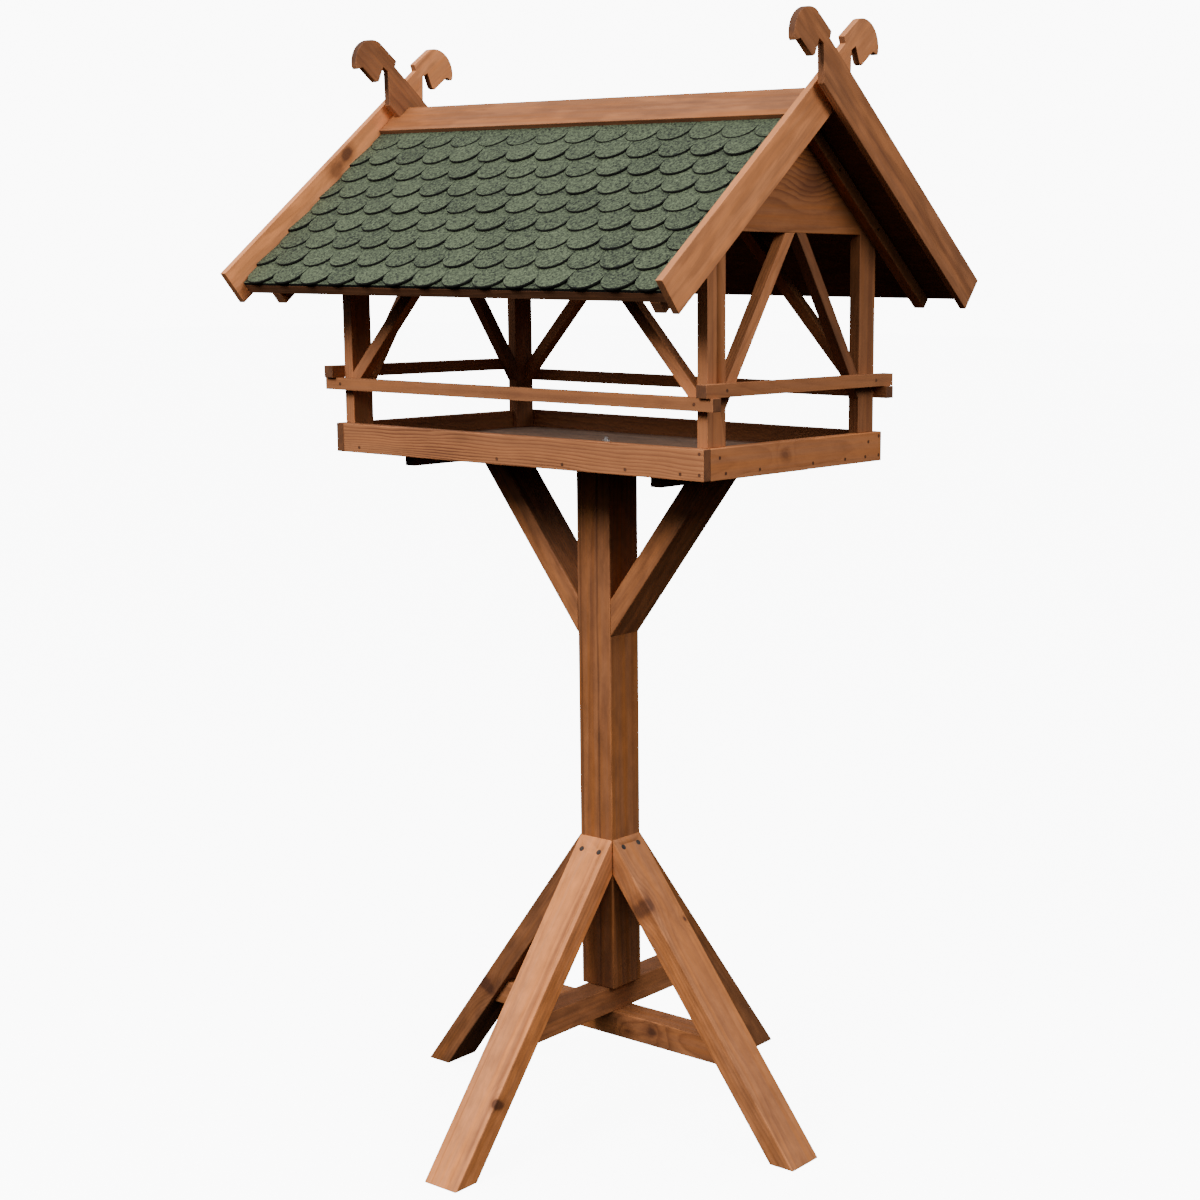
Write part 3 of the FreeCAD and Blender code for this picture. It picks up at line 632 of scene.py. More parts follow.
@dataclass(frozen=True)
class GranuleShingle:
    """Slate granules pressed into bitumen felt, with the black felt along the cut edges."""

    light: Colour = (0.145, 0.178, 0.094)
    dark: Colour = (0.003, 0.005, 0.002)
    felt: Colour = (0.006, 0.006, 0.005)
    grain: float = 520.0  # granules to the metre
    clumps: float = 260.0  # clumps of granules to the metre
    clump_octaves: float = 3.0
    clump_rough: float = 0.65
    clump_band: tuple[float, float] = (0.3, 0.7)  # the noise's values from dark to light clump
    clouds: float = 16.0  # wide lighter places to the metre
    shares: tuple[float, float, float, float] = (0.5, 0.4, 0.12, 0.12)  # in the colour: see top
    lightness: float = -0.22  # shift towards the light colour
    rough: float = 0.88
    gloss: float = 0.35
    relief: float = 0.7 * MM
    dome_fall: float = 1.2  # how steeply a granule falls off from its middle
    dome_height: float = 0.6  # share of the granules in the relief
    clump_height: float = 0.4  # share of the clumps in it
    grit: float = 300.0  # bumps of the felt to the metre
    felt_tone: float = 0.6  # the felt's tone before its bumps add to it
    felt_rough: tuple[float, float] = (0.8, 0.2)  # the least, and how much the bumps add
    felt_gloss: float = 0.15
    felt_relief: float = 0.4 * MM

    def top(self) -> bpy.types.Material:
        """Build the finish of the granule side.

        The colour is shared out between the single granules, their clumps, wide clouds and the
        tone of the whole tab.

        Returns:
            Its material.
        """
        graph = Graph("shingle_granules")
        place = graph.place()
        cells = graph.add("ShaderNodeTexVoronoi", {"feature": "F1"},
                          {"Vector": place, "Scale": self.grain}, "Color")
        granule = graph.add("ShaderNodeSeparateColor", {}, {0: cells})
        dome = Socket(graph, cells.link.node.outputs["Distance"])
        clump = graph.noise(place, (self.clumps,) * 3, self.clump_octaves, rough=self.clump_rough)
        cloud = graph.noise(place, (self.clouds,) * 3)
        by_granule, by_clump, by_cloud, by_tab = self.shares
        share = granule * by_granule + clump.band(*self.clump_band) * by_clump + cloud * by_cloud
        share = share + graph.attribute("tone") * by_tab + self.lightness
        colour = graph.mix(share, self.dark, self.light)
        height = (1 - dome * self.dome_fall) * self.dome_height + clump * self.clump_height
        return graph.finish({"Base Color": colour, "Roughness": self.rough,
                             "Specular IOR Level": self.gloss}, height, self.relief)

    def edge(self) -> bpy.types.Material:
        """Build the finish of the bare felt.

        Returns:
            Its material.
        """
        graph = Graph("shingle_felt")
        grit = graph.noise(graph.place(), (self.grit,) * 3)
        colour = graph.scale(self.felt, grit + self.felt_tone)
        least, more = self.felt_rough
        return graph.finish({"Base Color": colour, "Roughness": grit * more + least,
                             "Specular IOR Level": self.felt_gloss}, grit, self.felt_relief)


@dataclass(frozen=True)
class Metal:
    """A small fixing's metal with a fine grain."""

    name: str
    colour: Colour
    rough: float
    spots: float = 0.25  # how far the colour strays to either side
    uneven: float = 0.2  # how far apart its smoothest and roughest places are
    grains: float = 900.0  # to the metre
    clouds: float = 160.0  # to the metre
    octaves: float = 3.0  # of the grains
    relief: float = 0.08 * MM

    def material(self) -> bpy.types.Material:
        """Build the metal's finish.

        Returns:
            Its material.
        """
        graph = Graph(self.name)
        place = graph.place()
        grain = graph.noise(place, (self.grains,) * 3, self.octaves)
        cloud = graph.noise(place, (self.clouds,) * 3)
        colour = graph.scale(self.colour, 1 + (cloud - NOISE_MEAN) * (self.spots / NOISE_REACH))
        shine = grain * self.uneven + (self.rough - self.uneven / 2)
        return graph.finish({"Base Color": colour, "Metallic": 1.0, "Roughness": shine},
                            grain, self.relief)


HOUSE_PINE = StainedPine(early=(0.330, 0.123, 0.046), amber=(0.300, 0.095, 0.022),
                         late=(0.110, 0.032, 0.011), knot=(0.095, 0.030, 0.012))
TRAY_PINE = StainedPine(early=(0.215, 0.118, 0.070), amber=(0.200, 0.100, 0.055),
                        late=(0.085, 0.040, 0.022), knot=(0.060, 0.028, 0.016))
STAND_PINE = StainedPine(early=(0.330, 0.121, 0.044), amber=(0.300, 0.095, 0.020),
                         late=(0.105, 0.031, 0.010), knot=(0.070, 0.022, 0.009), mottled=0.85)
ZINC = Metal("zinc", (0.86, 0.86, 0.85), 0.34)
BROWNED = Metal("browned_steel", (0.060, 0.048, 0.040), 0.5, 0.35)
RUSTED = Metal("rusted_steel", (0.190, 0.085, 0.047), 0.72, 0.3)


# Modelling by hand


def select_only(pieces: Iterable[bpy.types.Object]) -> None:
    """Select some pieces alone and make the last of them active.

    Args:
        pieces: the pieces, or an empty list to select nothing.
    """
    bpy.ops.object.select_all(action="DESELECT")
    for piece in pieces:
        piece.select_set(True)
        bpy.context.view_layer.objects.active = piece


def pick(piece: bpy.types.Object, kind: str, wanted: Callable[[Any], bool]) -> None:
    """Select the parts of a mesh in edit mode that a test accepts.

    Args:
        piece: the object, in edit mode.
        kind: "VERT" or "EDGE".
        wanted: the test on one vertex or edge.
    """
    bpy.ops.mesh.select_mode(type=kind)
    bpy.ops.mesh.select_all(action="DESELECT")
    mesh = bmesh.from_edit_mesh(piece.data)
    for part in mesh.verts if kind == "VERT" else mesh.edges:
        if wanted(part):
            part.select_set(True)
    mesh.select_flush_mode()
    bmesh.update_edit_mesh(piece.data)


def loose_copy(node: str, name: str) -> bpy.types.Object:
    """Copy a CAD node's mesh, with its triangles merged into whole faces.

    Args:
        node: the CAD node.
        name: the copy's name.

    Returns:
        The copy, which doesn't ride or replace anything yet.
    """
    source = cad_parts[node]
    piece = bpy.data.objects.new(name, source.data.copy())
    bpy.context.scene.collection.objects.link(piece)
    select_only([piece])
    bpy.ops.object.mode_set(mode="EDIT")
    bpy.ops.mesh.select_all(action="SELECT")
    bpy.ops.mesh.remove_doubles(threshold=MERGE_REACH)
    bpy.ops.mesh.dissolve_limited(angle_limit=FLAT_ANGLE)
    bpy.ops.object.mode_set(mode="OBJECT")
    return piece


def ease_edges(piece: bpy.types.Object, width: float, shortest: float) -> None:
    """Round the long outer edges of a board a little, and mark the rounding for its wear and
    painted highlight.

    Args:
        piece: the board.
        width: how far the rounding reaches from each edge.
        shortest: edges shorter than this, such as a nail hole's rim, stay sharp.
    """
    select_only([piece])
    bpy.ops.object.mode_set(mode="EDIT")

    def outer(edge: Any) -> bool:
        """Tell whether an edge is a sharp one of the board's outline.

        Args:
            edge: the edge.

        Returns:
            True for an edge that is to be rounded.
        """
        if len(edge.link_faces) != 2 or edge.calc_length() < shortest:
            return False
        return edge.calc_face_angle_signed() > SHARP_ANGLE

    pick(piece, "EDGE", outer)
    bpy.ops.mesh.bevel(offset=width, segments=2, affect="EDGES", clamp_overlap=True)
    mesh = bmesh.from_edit_mesh(piece.data)
    rim_wear_and_highlight = mesh.loops.layers.float.new("rim_wear_and_highlight")
    for face in mesh.faces:
        for loop in face.loops:
            loop[rim_wear_and_highlight] = 1.0 if face.select else 0.0
    bmesh.update_edit_mesh(piece.data)
    bpy.ops.object.mode_set(mode="OBJECT")


def settle(piece: bpy.types.Object, slot: Slot, *nodes: str) -> None:
    """Put a finished piece on the part in place of CAD nodes.

    Args:
        piece: the finished piece.
        slot: the record's slot for its finish; not used.
        nodes: the CAD nodes that it stands for.
    """
    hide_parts(*nodes)
    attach(piece, BODY)
    LOG.info("%s stands for %s", piece.name, ", ".join(nodes))


@dataclass
class Woodwork:
    """A group of boards with one stain."""

    finish: StainedPine
    slot: Slot
    easing: float = 1.3 * MM  # how far the boards' edges are rounded
    shortest: float = 5.0 * MM  # shorter edges stay sharp

    def boards(self) -> Iterator[Board]:
        """Give the group's boards, one after another."""
        return iter(())

    def build(self) -> None:
        """Model and dress every board."""
        for board in self.boards():
            piece = loose_copy(board.node, f"{board.node}_wood")
            ease_edges(piece, self.easing, self.shortest)
            (board.finish or self.finish).dress(board, piece)
            settle(piece, self.slot, board.node)


@dataclass
class Stand(Woodwork):
    """The post with its legs, foot rails and tray braces."""

    finish: StainedPine = STAND_PINE
    slot: Slot = Slot.STAND
    easing: float = 1.8 * MM
    lean: float = 37.7  # legs and braces, from upright

    def boards(self) -> Iterator[Board]:
        """Give the post, legs, foot rails and braces.

        Returns:
            The boards, one after another.
        """
        sine, cosine = math.sin(math.radians(self.lean)), math.cos(math.radians(self.lean))
        yield Board("post", (0, 0, 1), (0, -1, 0), tone=0.97, ring=0.0080, pith=-0.007,
                    figure=0.6, amber=1.0, vein=1.0, runout=0.003, wave=0.1,
                    cracks=(-0.007, 0.024))
        # The legs' tones paint light and shade: the front and right legs, which face the lamps,
        # are lighter, the back and left ones darker, and the front leg's narrow sides are darker
        # as painted shade.
        for node, (x, y), tone, edge, knots in (
                ("leg_right", (1, 0), 1.25, 1.0,
                 (Knot(-0.157, -0.026, 0.011, 0.7), Knot(-0.12, 0.026, 0.003))),
                ("leg_back", (0, 1), 0.72, 1.0, ()),
                ("leg_left", (-1, 0), 0.66, 1.0, (Knot(0.069, 0.030, 0.009),)),
                ("leg_front", (0, -1), 2.15, 0.72, (Knot(0.133, 0.030, 0.006),))):
            yield Board(node, (x * sine, y * sine, -cosine), (x * cosine, y * cosine, sine),
                        tone=tone, edge=edge, vein=0.5, amber=0.75, runout=0.012, knots=knots)
        yield Board("foot_rail_lower", (1, 0, 0), (0, -1, 0), amber=0.9, figure=0.8, vein=0.4,
                    knots=(Knot(0.095, 0.004, 0.010), Knot(0.050, -0.004, 0.007)))
        yield Board("foot_rail_upper", (0, 1, 0), (1, 0, 0), tone=0.85)
        for side, x in SIDES:
            yield Board(f"brace_{side}", (x * sine, 0, cosine), (x * cosine, 0, -sine), tone=0.9)


@dataclass
class Tray(Woodwork):
    """The feeding tray: battens, floor and side boards."""

    finish: StainedPine = HOUSE_PINE
    slot: Slot = Slot.HOUSE

    def boards(self) -> Iterator[Board]:
        """Give the battens, floor boards and side boards.

        Returns:
            The boards, one after another.
        """
        for side, _ in SIDES:
            yield Board(f"batten_{side}", (0, 1, 0), (0, 0, -1), tone=0.6)
        for place in ("front", "middle", "back"):
            yield Board(f"floor_board_{place}", (1, 0, 0), (0, 0, 1), tone=1.15, figure=0.3,
                        finish=TRAY_PINE)
        yield Board("tray_front", (1, 0, 0), (0, -1, 0), tone=1.22, figure=2.1, amber=0.2,
                    ring=0.0027, pith=0.040, runout=0.004, wave=1.8)
        # The back board's lower tone is painted shade on its inside under the roof.
        yield Board("tray_back", (1, 0, 0), (0, 1, 0), tone=0.8)
        yield Board("tray_right", (0, 1, 0), (1, 0, 0), tone=1.3, figure=0.3, amber=0.7,
                    knots=(Knot(-0.035, 0.003, 0.006, 0.3),))
        yield Board("tray_left", (0, 1, 0), (-1, 0, 0))


@dataclass
class House(Woodwork):
    """The open house: corner posts, rails, braces and gable boards."""

    finish: StainedPine = HOUSE_PINE
    slot: Slot = Slot.HOUSE
    easing: float = 0.9 * MM
    knee: float = 47.0  # knee braces, from level
    gable_lean: float = 56.6  # gable braces, from level

    def boards(self) -> Iterator[Board]:
        """Give the corner posts, rails, braces and gable boards.

        Returns:
            The boards, one after another.
        """
        knee, gable = math.radians(self.knee), math.radians(self.gable_lean)
        for place, y in FACES:
            yield Board(f"rail_{place}", (1, 0, 0), (0, y, 0))
            for side, x in SIDES:
                # Front corner posts and gable braces are lighter as painted light, the back ones
                # darker as painted shade.
                yield Board(f"corner_post_{place}_{side}", (0, 0, 1), (x, 0, 0),
                            tone=1.1 if place == "front" else 0.8, vein=0.4)
                yield Board(f"knee_brace_{place}_{side}",
                            (-x * math.cos(knee), 0, math.sin(knee)), (0, y, 0), tone=0.95)
                yield Board(f"gable_brace_{place}_{side}",
                            (0, -y * math.cos(gable), math.sin(gable)), (x, 0, 0),
                            tone=1.35 if place == "front" else 0.5)
        for side, x in SIDES:
            yield Board(f"rail_{side}", (0, 1, 0), (x, 0, 0))
            yield Board(f"gable_board_{side}", (0, 1, 0), (x, 0, 0), tone=1.05,
                        figure=1.1, amber=1.0, pith=-0.05, wave=0.8,
                        knots=(Knot(0.034, -0.012, 0.014, 0.12),))


@dataclass
class Roof(Woodwork):
    """The roof's woodwork: rafters, deck, ridge boards and horse-head barge boards."""

    finish: StainedPine = HOUSE_PINE
    slot: Slot = Slot.HOUSE
    easing: float = 0.9 * MM
    shortest: float = 1.7 * MM
    pitch: float = 39.0  # the slopes, from level
    # The front-slope barge boards are lighter as painted light, the back-slope ones darker as
    # painted shade.
    barge_light_and_shade: dict[tuple[str, str], float] = field(default_factory=lambda: {
        ("front", "right"): 1.5, ("front", "left"): 2.0,
        ("back", "right"): 0.85, ("back", "left"): 0.8})
    barge_knots: tuple[Knot, ...] = (Knot(0.018, -0.014, 0.009, 0.75),
                                     Knot(-0.011, -0.011, 0.010, 0.4))

    def boards(self) -> Iterator[Board]:
        """Give the rafters, deck boards, ridge boards and barge boards.

        Returns:
            The boards, one after another.
        """
        sine, cosine = math.sin(math.radians(self.pitch)), math.cos(math.radians(self.pitch))
        for place, y in FACES:
            up = (0, -y * cosine, sine)
            out = (0, y * sine, cosine)
            for number in (1, 2, 3):
                # The deck boards' low tone is painted shade on the roof's underside.
                yield Board(f"deck_board_{place}_{number}", (1, 0, 0), out, tone=0.3)
            # edge=0.45 paints shade on the ridge boards' narrow sides, along their lower edges.
            yield Board(f"ridge_board_{place}", (1, 0, 0), out, tone=0.83, figure=0.25, amber=1.0,
                        edge=0.45)
            for side, x in SIDES:
                yield Board(f"rafter_{place}_{side}", up, (x, 0, 0))
                # this tone paints light on the front boards and shade on the back ones
                tone = self.barge_light_and_shade[place, side]
                figure, vein = (0.12, 0.05) if place == "front" else (0.4, 0.35)
                knots = self.barge_knots if side == "left" else ()
                yield Board(f"barge_board_{place}_{side}", up, (x, 0, 0), tone=tone,
                            figure=figure, vein=vein, knots=knots)


# Shingles


@dataclass
class Shingling:
    """The courses of round-ended shingle tabs on both slopes.

    They are laid on the front slope, whose frame has X along the ridge, Y up the slope to 0 at
    the apex and Z square to it from the deck's underside, and turned half round for the back.
    """

    finish: GranuleShingle = field(default_factory=GranuleShingle)
    apex: float = 1.410  # height of the slopes' meeting
    pitch: float = 39.0  # the slopes, from level
    deck: float = 14.0 * MM  # its thickness
    low_end: float = -385.0 * MM  # the courses' ends at the barge boards
    high_end: float = 368.0 * MM
    first_tip: float = 377.16 * MM  # first course's tips, down from the apex
    eave: float = 373.16 * MM  # the deck's edge, down from the apex
    courses: int = 9
    exposure: float = 37.0 * MM  # from one course to the next
    tab_width: float = 53.0 * MM
    tab_depth: float = 24.0 * MM  # the round part
    length: float = 74.0 * MM
    thick: float = 2.0 * MM
    swell: float = 0.6 * MM  # the granules' height on the felt
    cut_rim: float = 0.8 * MM  # the bevel round the cut end, in black felt: partly the cut edge, partly painted shade under the tab
    corner_steps: int = 7
    corner_gap: float = 0.2 * MM  # half the flat left between the two rounded corners
    upright: float = 0.9  # a face that looks up more than this has granules; the sloped rim gets black felt as painted shade
    lift: tuple[float, float] = (0.9, 1.3)  # degrees: the least, and how much more at most
    last_lift: float = 0.3  # share of it in the course under the ridge boards
    skew: float = 0.5  # degrees that a tab lies askew at most
    thin_edge: float = 0.3 * MM  # thickness of the starter strip's upper edge
    barge_drop: float = 3.4 * MM  # barge boards' lower edge below the deck's underside
    ridge_gap: float = 0.3 * MM  # from the courses to the necks that cross the ridge
    draw: random.Random = field(default_factory=lambda: random.Random("shingles"))

    @property
    def bed(self) -> float:
        """Return the angle between a tab that lies on the course below and the slope."""
        return math.asin(self.thick / self.exposure)

    def slope_frame(self) -> Matrix:
        """Return the front slope's frame."""
        return Matrix.Translation((0, 0, self.apex)) @ Matrix.Rotation(
            math.radians(self.pitch), 4, "X")

    def dress_plate(self, plate: bpy.types.Object,
                    materials: Sequence[bpy.types.Material]) -> None:
        """Put the granules on a flat plate's top and the felt on its other faces.

        Args:
            plate: the plate, before it is turned to the slope.
            materials: the granules and the felt.
        """
        for material in materials:
            plate.data.materials.append(material)
        for face in plate.data.polygons:
            face.material_index = 0 if face.normal.z > self.upright else 1

    def model_tab(self, materials: Sequence[bpy.types.Material]) -> bpy.types.Object:
        """Model one tab: a rectangle with its lower corners rounded together, made a plate.

        Args:
            materials: the granules and the felt.

        Returns:
            The tab, its tip's middle at the origin.
        """
        select_only([])
        middle = (0.0, self.length / 2, 0.0)
        bpy.ops.mesh.primitive_plane_add(size=1, location=middle)
        tab = bpy.context.object
        bpy.ops.transform.resize(value=(self.tab_width, self.length, 1))
        bpy.ops.object.transform_apply(location=True, rotation=True, scale=True)
        bpy.ops.object.mode_set(mode="EDIT")
        halfway = self.length / 2
        pick(tab, "VERT", lambda vert: vert.co.y < halfway)
        round_reach = self.tab_width / 2 - self.corner_gap
        bpy.ops.mesh.bevel(offset=round_reach, segments=self.corner_steps, affect="VERTICES")
        pick(tab, "VERT", lambda vert: vert.co.y < halfway)
        bpy.ops.transform.resize(value=(1, self.tab_depth / round_reach, 1),
                                 center_override=(0, 0, 0))
        bpy.ops.mesh.select_all(action="SELECT")
        height = self.thick + self.swell
        bpy.ops.mesh.extrude_region_move(TRANSFORM_OT_translate={"value": (0, 0, height)})
        bpy.ops.mesh.select_all(action="SELECT")
        bpy.ops.mesh.normals_make_consistent(inside=False)
        pick(tab, "EDGE", lambda edge: all(vert.co.z > height / 2 and vert.co.y < halfway
                                           for vert in edge.verts))
        bpy.ops.mesh.bevel(offset=self.cut_rim, segments=1, affect="EDGES")
        bpy.ops.object.mode_set(mode="OBJECT")
        self.dress_plate(tab, materials)
        tab.data.attributes.new("tone", "FLOAT", "FACE")
        return tab

    def tab_place(self, course: int, x: float) -> Matrix:
        """Place one tab, with a little lift and skew of its own.

        Args:
            course: the course's number, from the eave.
            x: its tip's middle along the ridge.

        Returns:
            Its place on the front slope.
        """
        tip = Matrix.Translation((x, course * self.exposure - self.first_tip,
                                  self.deck + 2 * self.thick))
        least, more = self.lift
        lift = least + more * self.draw.random() ** 2
        if course == self.courses - 1:
            lift *= self.last_lift
        tilt = self.bed + math.radians(lift)
        skew = Matrix.Rotation(math.radians(self.draw.uniform(-self.skew, self.skew)), 4, "Z")
        hinge = Matrix.Translation((0, self.length, 0))
        base = Matrix.Rotation(-self.bed, 4, "X")
        raised = Matrix.Rotation(-tilt, 4, "X") @ base.inverted()
        return self.slope_frame() @ tip @ base @ hinge @ raised @ hinge.inverted() @ skew

    def starter(self, materials: Sequence[bpy.types.Material]) -> bpy.types.Object:
        """Model the strip under the first course, thinning up the slope.

        Args:
            materials: the granules and the felt.

        Returns:
            The strip, in its place on the front slope.
        """
        run = self.length * math.cos(self.bed)
        thick_edge = 2 * self.thick * (1 - (self.first_tip - self.eave) / run)
        low, high = -self.eave, run - self.first_tip
        half_up, half_thick = (low + high) / 2, self.deck + thick_edge / 2
        select_only([])
        middle = ((self.low_end + self.high_end) / 2, half_up, self.deck)
        bpy.ops.mesh.primitive_plane_add(size=1, location=middle)
        strip = bpy.context.object
        bpy.ops.transform.resize(value=(self.high_end - self.low_end, high - low, 1))
        bpy.ops.object.transform_apply(location=True, rotation=True, scale=True)
        bpy.ops.object.mode_set(mode="EDIT")
        bpy.ops.mesh.select_all(action="SELECT")
        bpy.ops.mesh.extrude_region_move(TRANSFORM_OT_translate={"value": (0, 0, thick_edge)})
        pick(strip, "VERT", lambda vert: vert.co.y > half_up and vert.co.z > half_thick)
        bpy.ops.transform.translate(value=(0, 0, -(thick_edge - self.thin_edge)))
        bpy.ops.mesh.select_all(action="SELECT")
        bpy.ops.mesh.normals_make_consistent(inside=False)
        bpy.ops.object.mode_set(mode="OBJECT")
        self.dress_plate(strip, materials)
        strip.data.transform(self.slope_frame())
        return strip

    def lay_course(self, tab: bpy.types.Object, course: int) -> list[bpy.types.Object]:
        """Copy the tab along one course.

        Args:
            tab: the tab.
            course: the course's number, from the eave.

        Returns:
            The copies, the odd courses half a tab aside of the even ones.
        """
        start = self.low_end - (self.tab_width / 2 if course % 2 else 0.0)
        count = int((self.high_end - start) / self.tab_width) + 1
        laid = []
        for number in range(count):
            copy = tab.copy()
            copy.data = tab.data.copy()
            bpy.context.scene.collection.objects.link(copy)
            x = start + (number + 0.5) * self.tab_width
            copy.data.transform(self.tab_place(course, x))
            tone = self.draw.uniform(0, 1)
            copy.data.attributes["tone"].data.foreach_set(
                "value", [tone] * len(copy.data.polygons))
            laid.append(copy)
        return laid

    def trim(self, piece: bpy.types.Object) -> None:
        """Cut the courses off at the barge boards and along the necks that cross the ridge.

        Args:
            piece: the joined courses, in their place on the front slope.
        """
        select_only([piece])
        bpy.ops.object.mode_set(mode="EDIT")
        turn = math.radians(self.pitch)
        neck = Vector((0, math.sin(turn), math.cos(turn)))
        cuts = [
            ((self.low_end, 0, 0), (-1, 0, 0)),
            ((self.high_end, 0, 0), (1, 0, 0)),
            (Vector((0, 0, self.apex)) - neck * (self.barge_drop + self.ridge_gap), neck),
        ]
        for point, normal in cuts:
            bpy.ops.mesh.select_all(action="SELECT")
            bpy.ops.mesh.bisect(plane_co=tuple(point), plane_no=tuple(normal),
                                use_fill=True, clear_outer=True)
        bpy.ops.object.mode_set(mode="OBJECT")

    def build(self) -> None:
        """Lay both slopes."""
        materials = (self.finish.top(), self.finish.edge())
        tab = self.model_tab(materials)
        for slope in Slope:
            laid = [self.starter(materials)]
            for course in range(self.courses):
                laid += self.lay_course(tab, course)
            select_only(laid)
            bpy.ops.object.join()
            piece = bpy.context.object
            piece.name = f"shingle_courses_{slope.word}"
            self.trim(piece)
            piece.data.transform(slope.turn)
            settle(piece, Slot.SHINGLE, f"shingles_{slope.word}")
        bpy.data.objects.remove(tab)


# Fixings


@dataclass
class Fixings:
    """Bolt, washer, nut, screws and nails, which keep their CAD shapes."""

    zinc_nodes: tuple[str, ...] = ("hanger_bolt", "washer", "nut")
    browned_nodes: tuple[str, ...] = ("stand_screws", "foot_screw")
    rusted_nodes: tuple[str, ...] = ("nails",)

    def build(self) -> None:
        """Dress the fixings."""
        for metal, nodes in ((ZINC, self.zinc_nodes), (BROWNED, self.browned_nodes),
                             (RUSTED, self.rusted_nodes)):
            material = metal.material()
            for node in nodes:
                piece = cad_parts[node]
                piece.data.materials.clear()
                piece.data.materials.append(material)
                LOG.info("%s dressed in %s", node, metal.name)


# Studio


@dataclass(frozen=True)
class Lamp:
    """A round soft lamp."""

    name: str
    place: Point
    power: float  # watts
    size: float


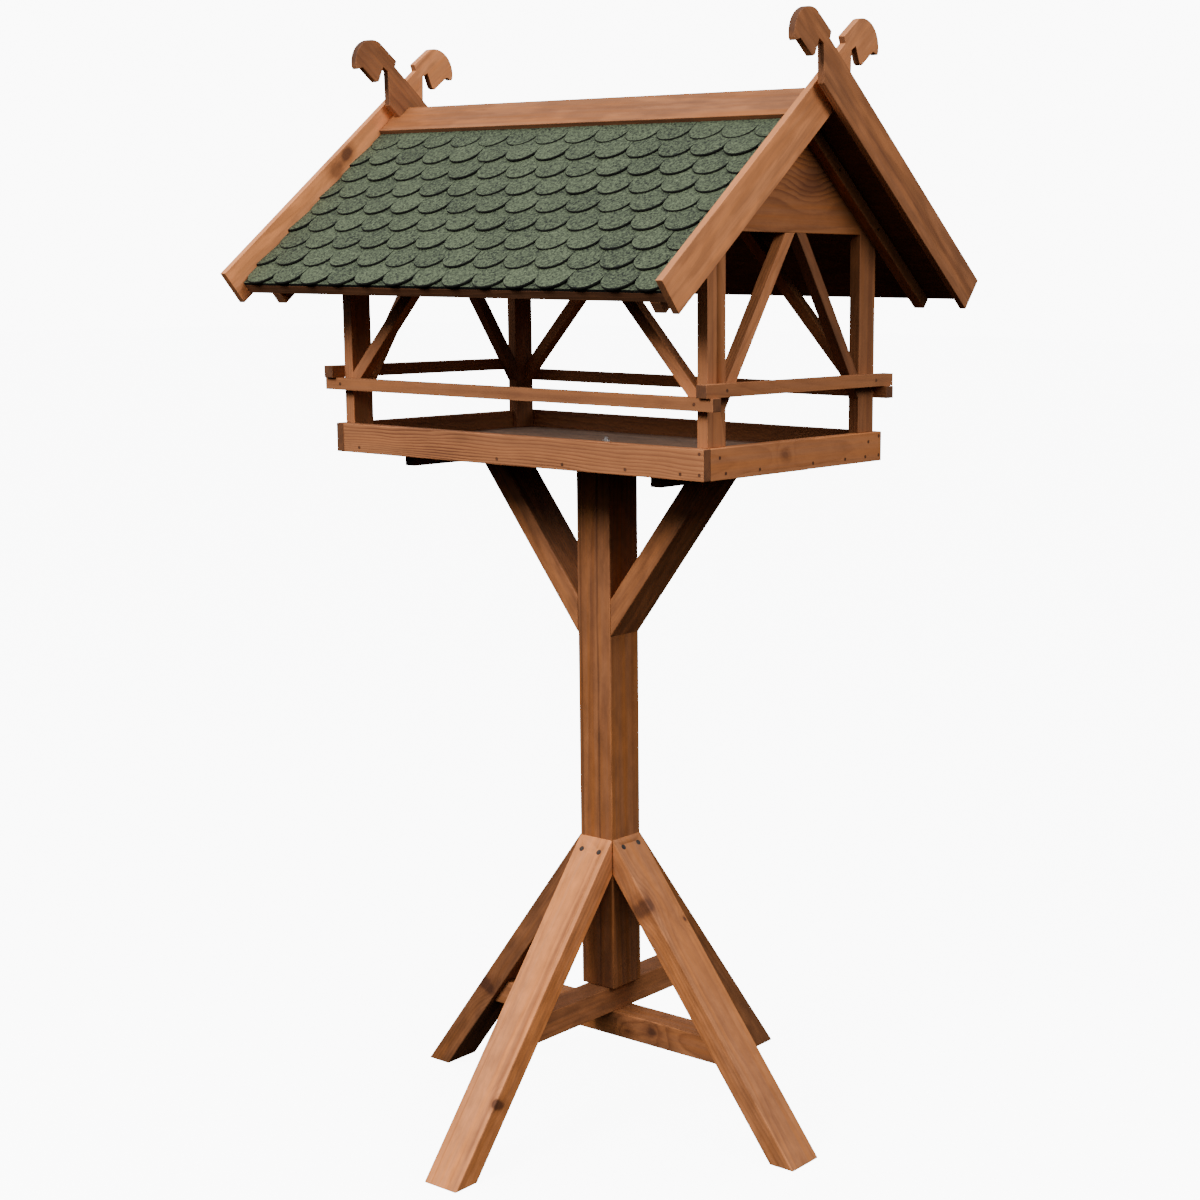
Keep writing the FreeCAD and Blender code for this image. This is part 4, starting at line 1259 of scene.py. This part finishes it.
@dataclass
class Studio:
    """The pale floor, an overcast sky, two soft lamps and the photograph's camera."""

    floor_side: float = 60.0
    floor_drop: float = 0.5 * MM
    floor_colour: Colour = (0.80, 0.80, 0.80)
    floor_clouds: float = 1.4  # faint darker places to the metre
    floor_shade: float = 0.99  # their tone
    floor_rough: float = 0.9
    white: float = 9.0  # the floor's own light, which only the camera sees
    haze: float = 1.2  # how much brighter the backdrop is
    camera_place: Point = (1.92466, -2.18729, 1.21903)
    camera_look: Point = (-0.56739, 0.80208, -0.18636)
    camera_up: Point = (-0.11555, 0.14653, 0.98243)
    sensor: float = 36.0  # millimetres, as is the lens
    lens: float = 62.492
    shift: tuple[float, float] = (-0.18842, 0.05087)
    clip: tuple[float, float] = (0.1, 50.0)
    lamps: tuple[Lamp, ...] = (Lamp("front_lamp", (-0.3, -3.4, 3.1), 168.0, 1.6),
                               Lamp("side_lamp", (3.5, -0.2, 3.3), 84.0, 1.8))
    sky_colour: Colour = (0.92, 0.97, 1.03)
    sky_rise: tuple[float, float] = (0.04, 0.85)  # heights between which it brightens
    sky_strength: tuple[float, float] = (0.01, 1.55)  # at those heights
    aim: Point = (0.0, 0.0, 0.85)  # where the lamps look

    def floor(self) -> None:
        """Lay the floor, a wide white sheet that throws no light back onto the object."""
        select_only([])
        bpy.ops.mesh.primitive_plane_add(size=self.floor_side, location=(0, 0, -self.floor_drop))
        floor = bpy.context.object
        floor.name = "studio_floor"
        bpy.ops.object.transform_apply(location=True, rotation=True, scale=True)
        graph = Graph("studio_floor")
        cloud = graph.noise(graph.place(), (self.floor_clouds,) * 3)
        shaded = tuple(self.floor_shade * part for part in self.floor_colour)
        base = graph.mix(cloud, self.floor_colour, shaded)
        floor.data.materials.append(graph.finish({
            "Base Color": base, "Roughness": self.floor_rough, "Specular IOR Level": 0.0,
            "Emission Color": (1.0, 1.0, 1.0), "Emission Strength": self.white}))
        floor.visible_diffuse = False
        floor.visible_glossy = False

    def hang(self, lamp: Lamp) -> None:
        """Hang a lamp so that it looks at the object.

        Args:
            lamp: the lamp.
        """
        data = bpy.data.lights.new(lamp.name, "AREA")
        data.shape, data.size, data.energy = "DISK", lamp.size, lamp.power
        hung = bpy.data.objects.new(lamp.name, data)
        bpy.context.scene.collection.objects.link(hung)
        hung.location = lamp.place
        look = Vector(self.aim) - Vector(lamp.place)
        hung.rotation_euler = look.to_track_quat("-Z", "Y").to_euler()

    def sky(self) -> None:
        """Set a white backdrop for the camera, and an even sky that lights from above only."""
        world = bpy.data.worlds.new("studio")
        world.use_nodes = True
        nodes, links = world.node_tree.nodes, world.node_tree.links
        nodes.clear()
        rays = nodes.new("ShaderNodeLightPath")
        glow, backdrop = nodes.new("ShaderNodeBackground"), nodes.new("ShaderNodeBackground")
        place, split = nodes.new("ShaderNodeTexCoord"), nodes.new("ShaderNodeSeparateXYZ")
        rise = nodes.new("ShaderNodeMapRange")
        rise.interpolation_type = "LINEAR"
        ends = ("From Min", "From Max", "To Min", "To Max")
        for name, value in zip(ends, (*self.sky_rise, *self.sky_strength)):
            rise.inputs[name].default_value = value
        links.new(place.outputs["Generated"], split.inputs[0])
        links.new(split.outputs["Z"], rise.inputs["Value"])
        links.new(rise.outputs["Result"], glow.inputs["Strength"])
        glow.inputs["Color"].default_value = (*self.sky_colour, 1.0)
        backdrop.inputs["Color"].default_value = (1.0, 1.0, 1.0, 1.0)
        backdrop.inputs["Strength"].default_value = self.white + self.haze
        mix, output = nodes.new("ShaderNodeMixShader"), nodes.new("ShaderNodeOutputWorld")
        links.new(rays.outputs["Is Camera Ray"], mix.inputs[0])
        links.new(glow.outputs[0], mix.inputs[1])
        links.new(backdrop.outputs[0], mix.inputs[2])
        links.new(mix.outputs[0], output.inputs["Surface"])
        bpy.context.scene.world = world

    def camera(self) -> None:
        """Set the camera where the photograph was taken from."""
        data = bpy.data.cameras.new("photo_camera")
        data.sensor_fit = "HORIZONTAL"
        data.sensor_width = self.sensor
        data.lens = self.lens
        data.shift_x, data.shift_y = self.shift
        data.clip_start, data.clip_end = self.clip
        camera = bpy.data.objects.new("photo_camera", data)
        bpy.context.scene.collection.objects.link(camera)
        back = -Vector(self.camera_look).normalized()
        up = Vector(self.camera_up).normalized()
        right = up.cross(back).normalized()
        turn = Matrix((right, back.cross(right), back)).transposed().to_4x4()
        camera.matrix_world = Matrix.Translation(self.camera_place) @ turn
        bpy.context.scene.camera = camera

    def build(self) -> None:
        """Set up the whole studio."""
        self.floor()
        for lamp in self.lamps:
            self.hang(lamp)
        self.sky()
        self.camera()


def main() -> None:
    """Build the sub-assemblies in order."""
    logging.basicConfig(level=logging.INFO, format="%(message)s")
    Stand().build()
    Tray().build()
    House().build()
    Roof().build()
    Shingling().build()
    Fixings().build()
    Studio().build()


if __name__ == "__main__":
    main()
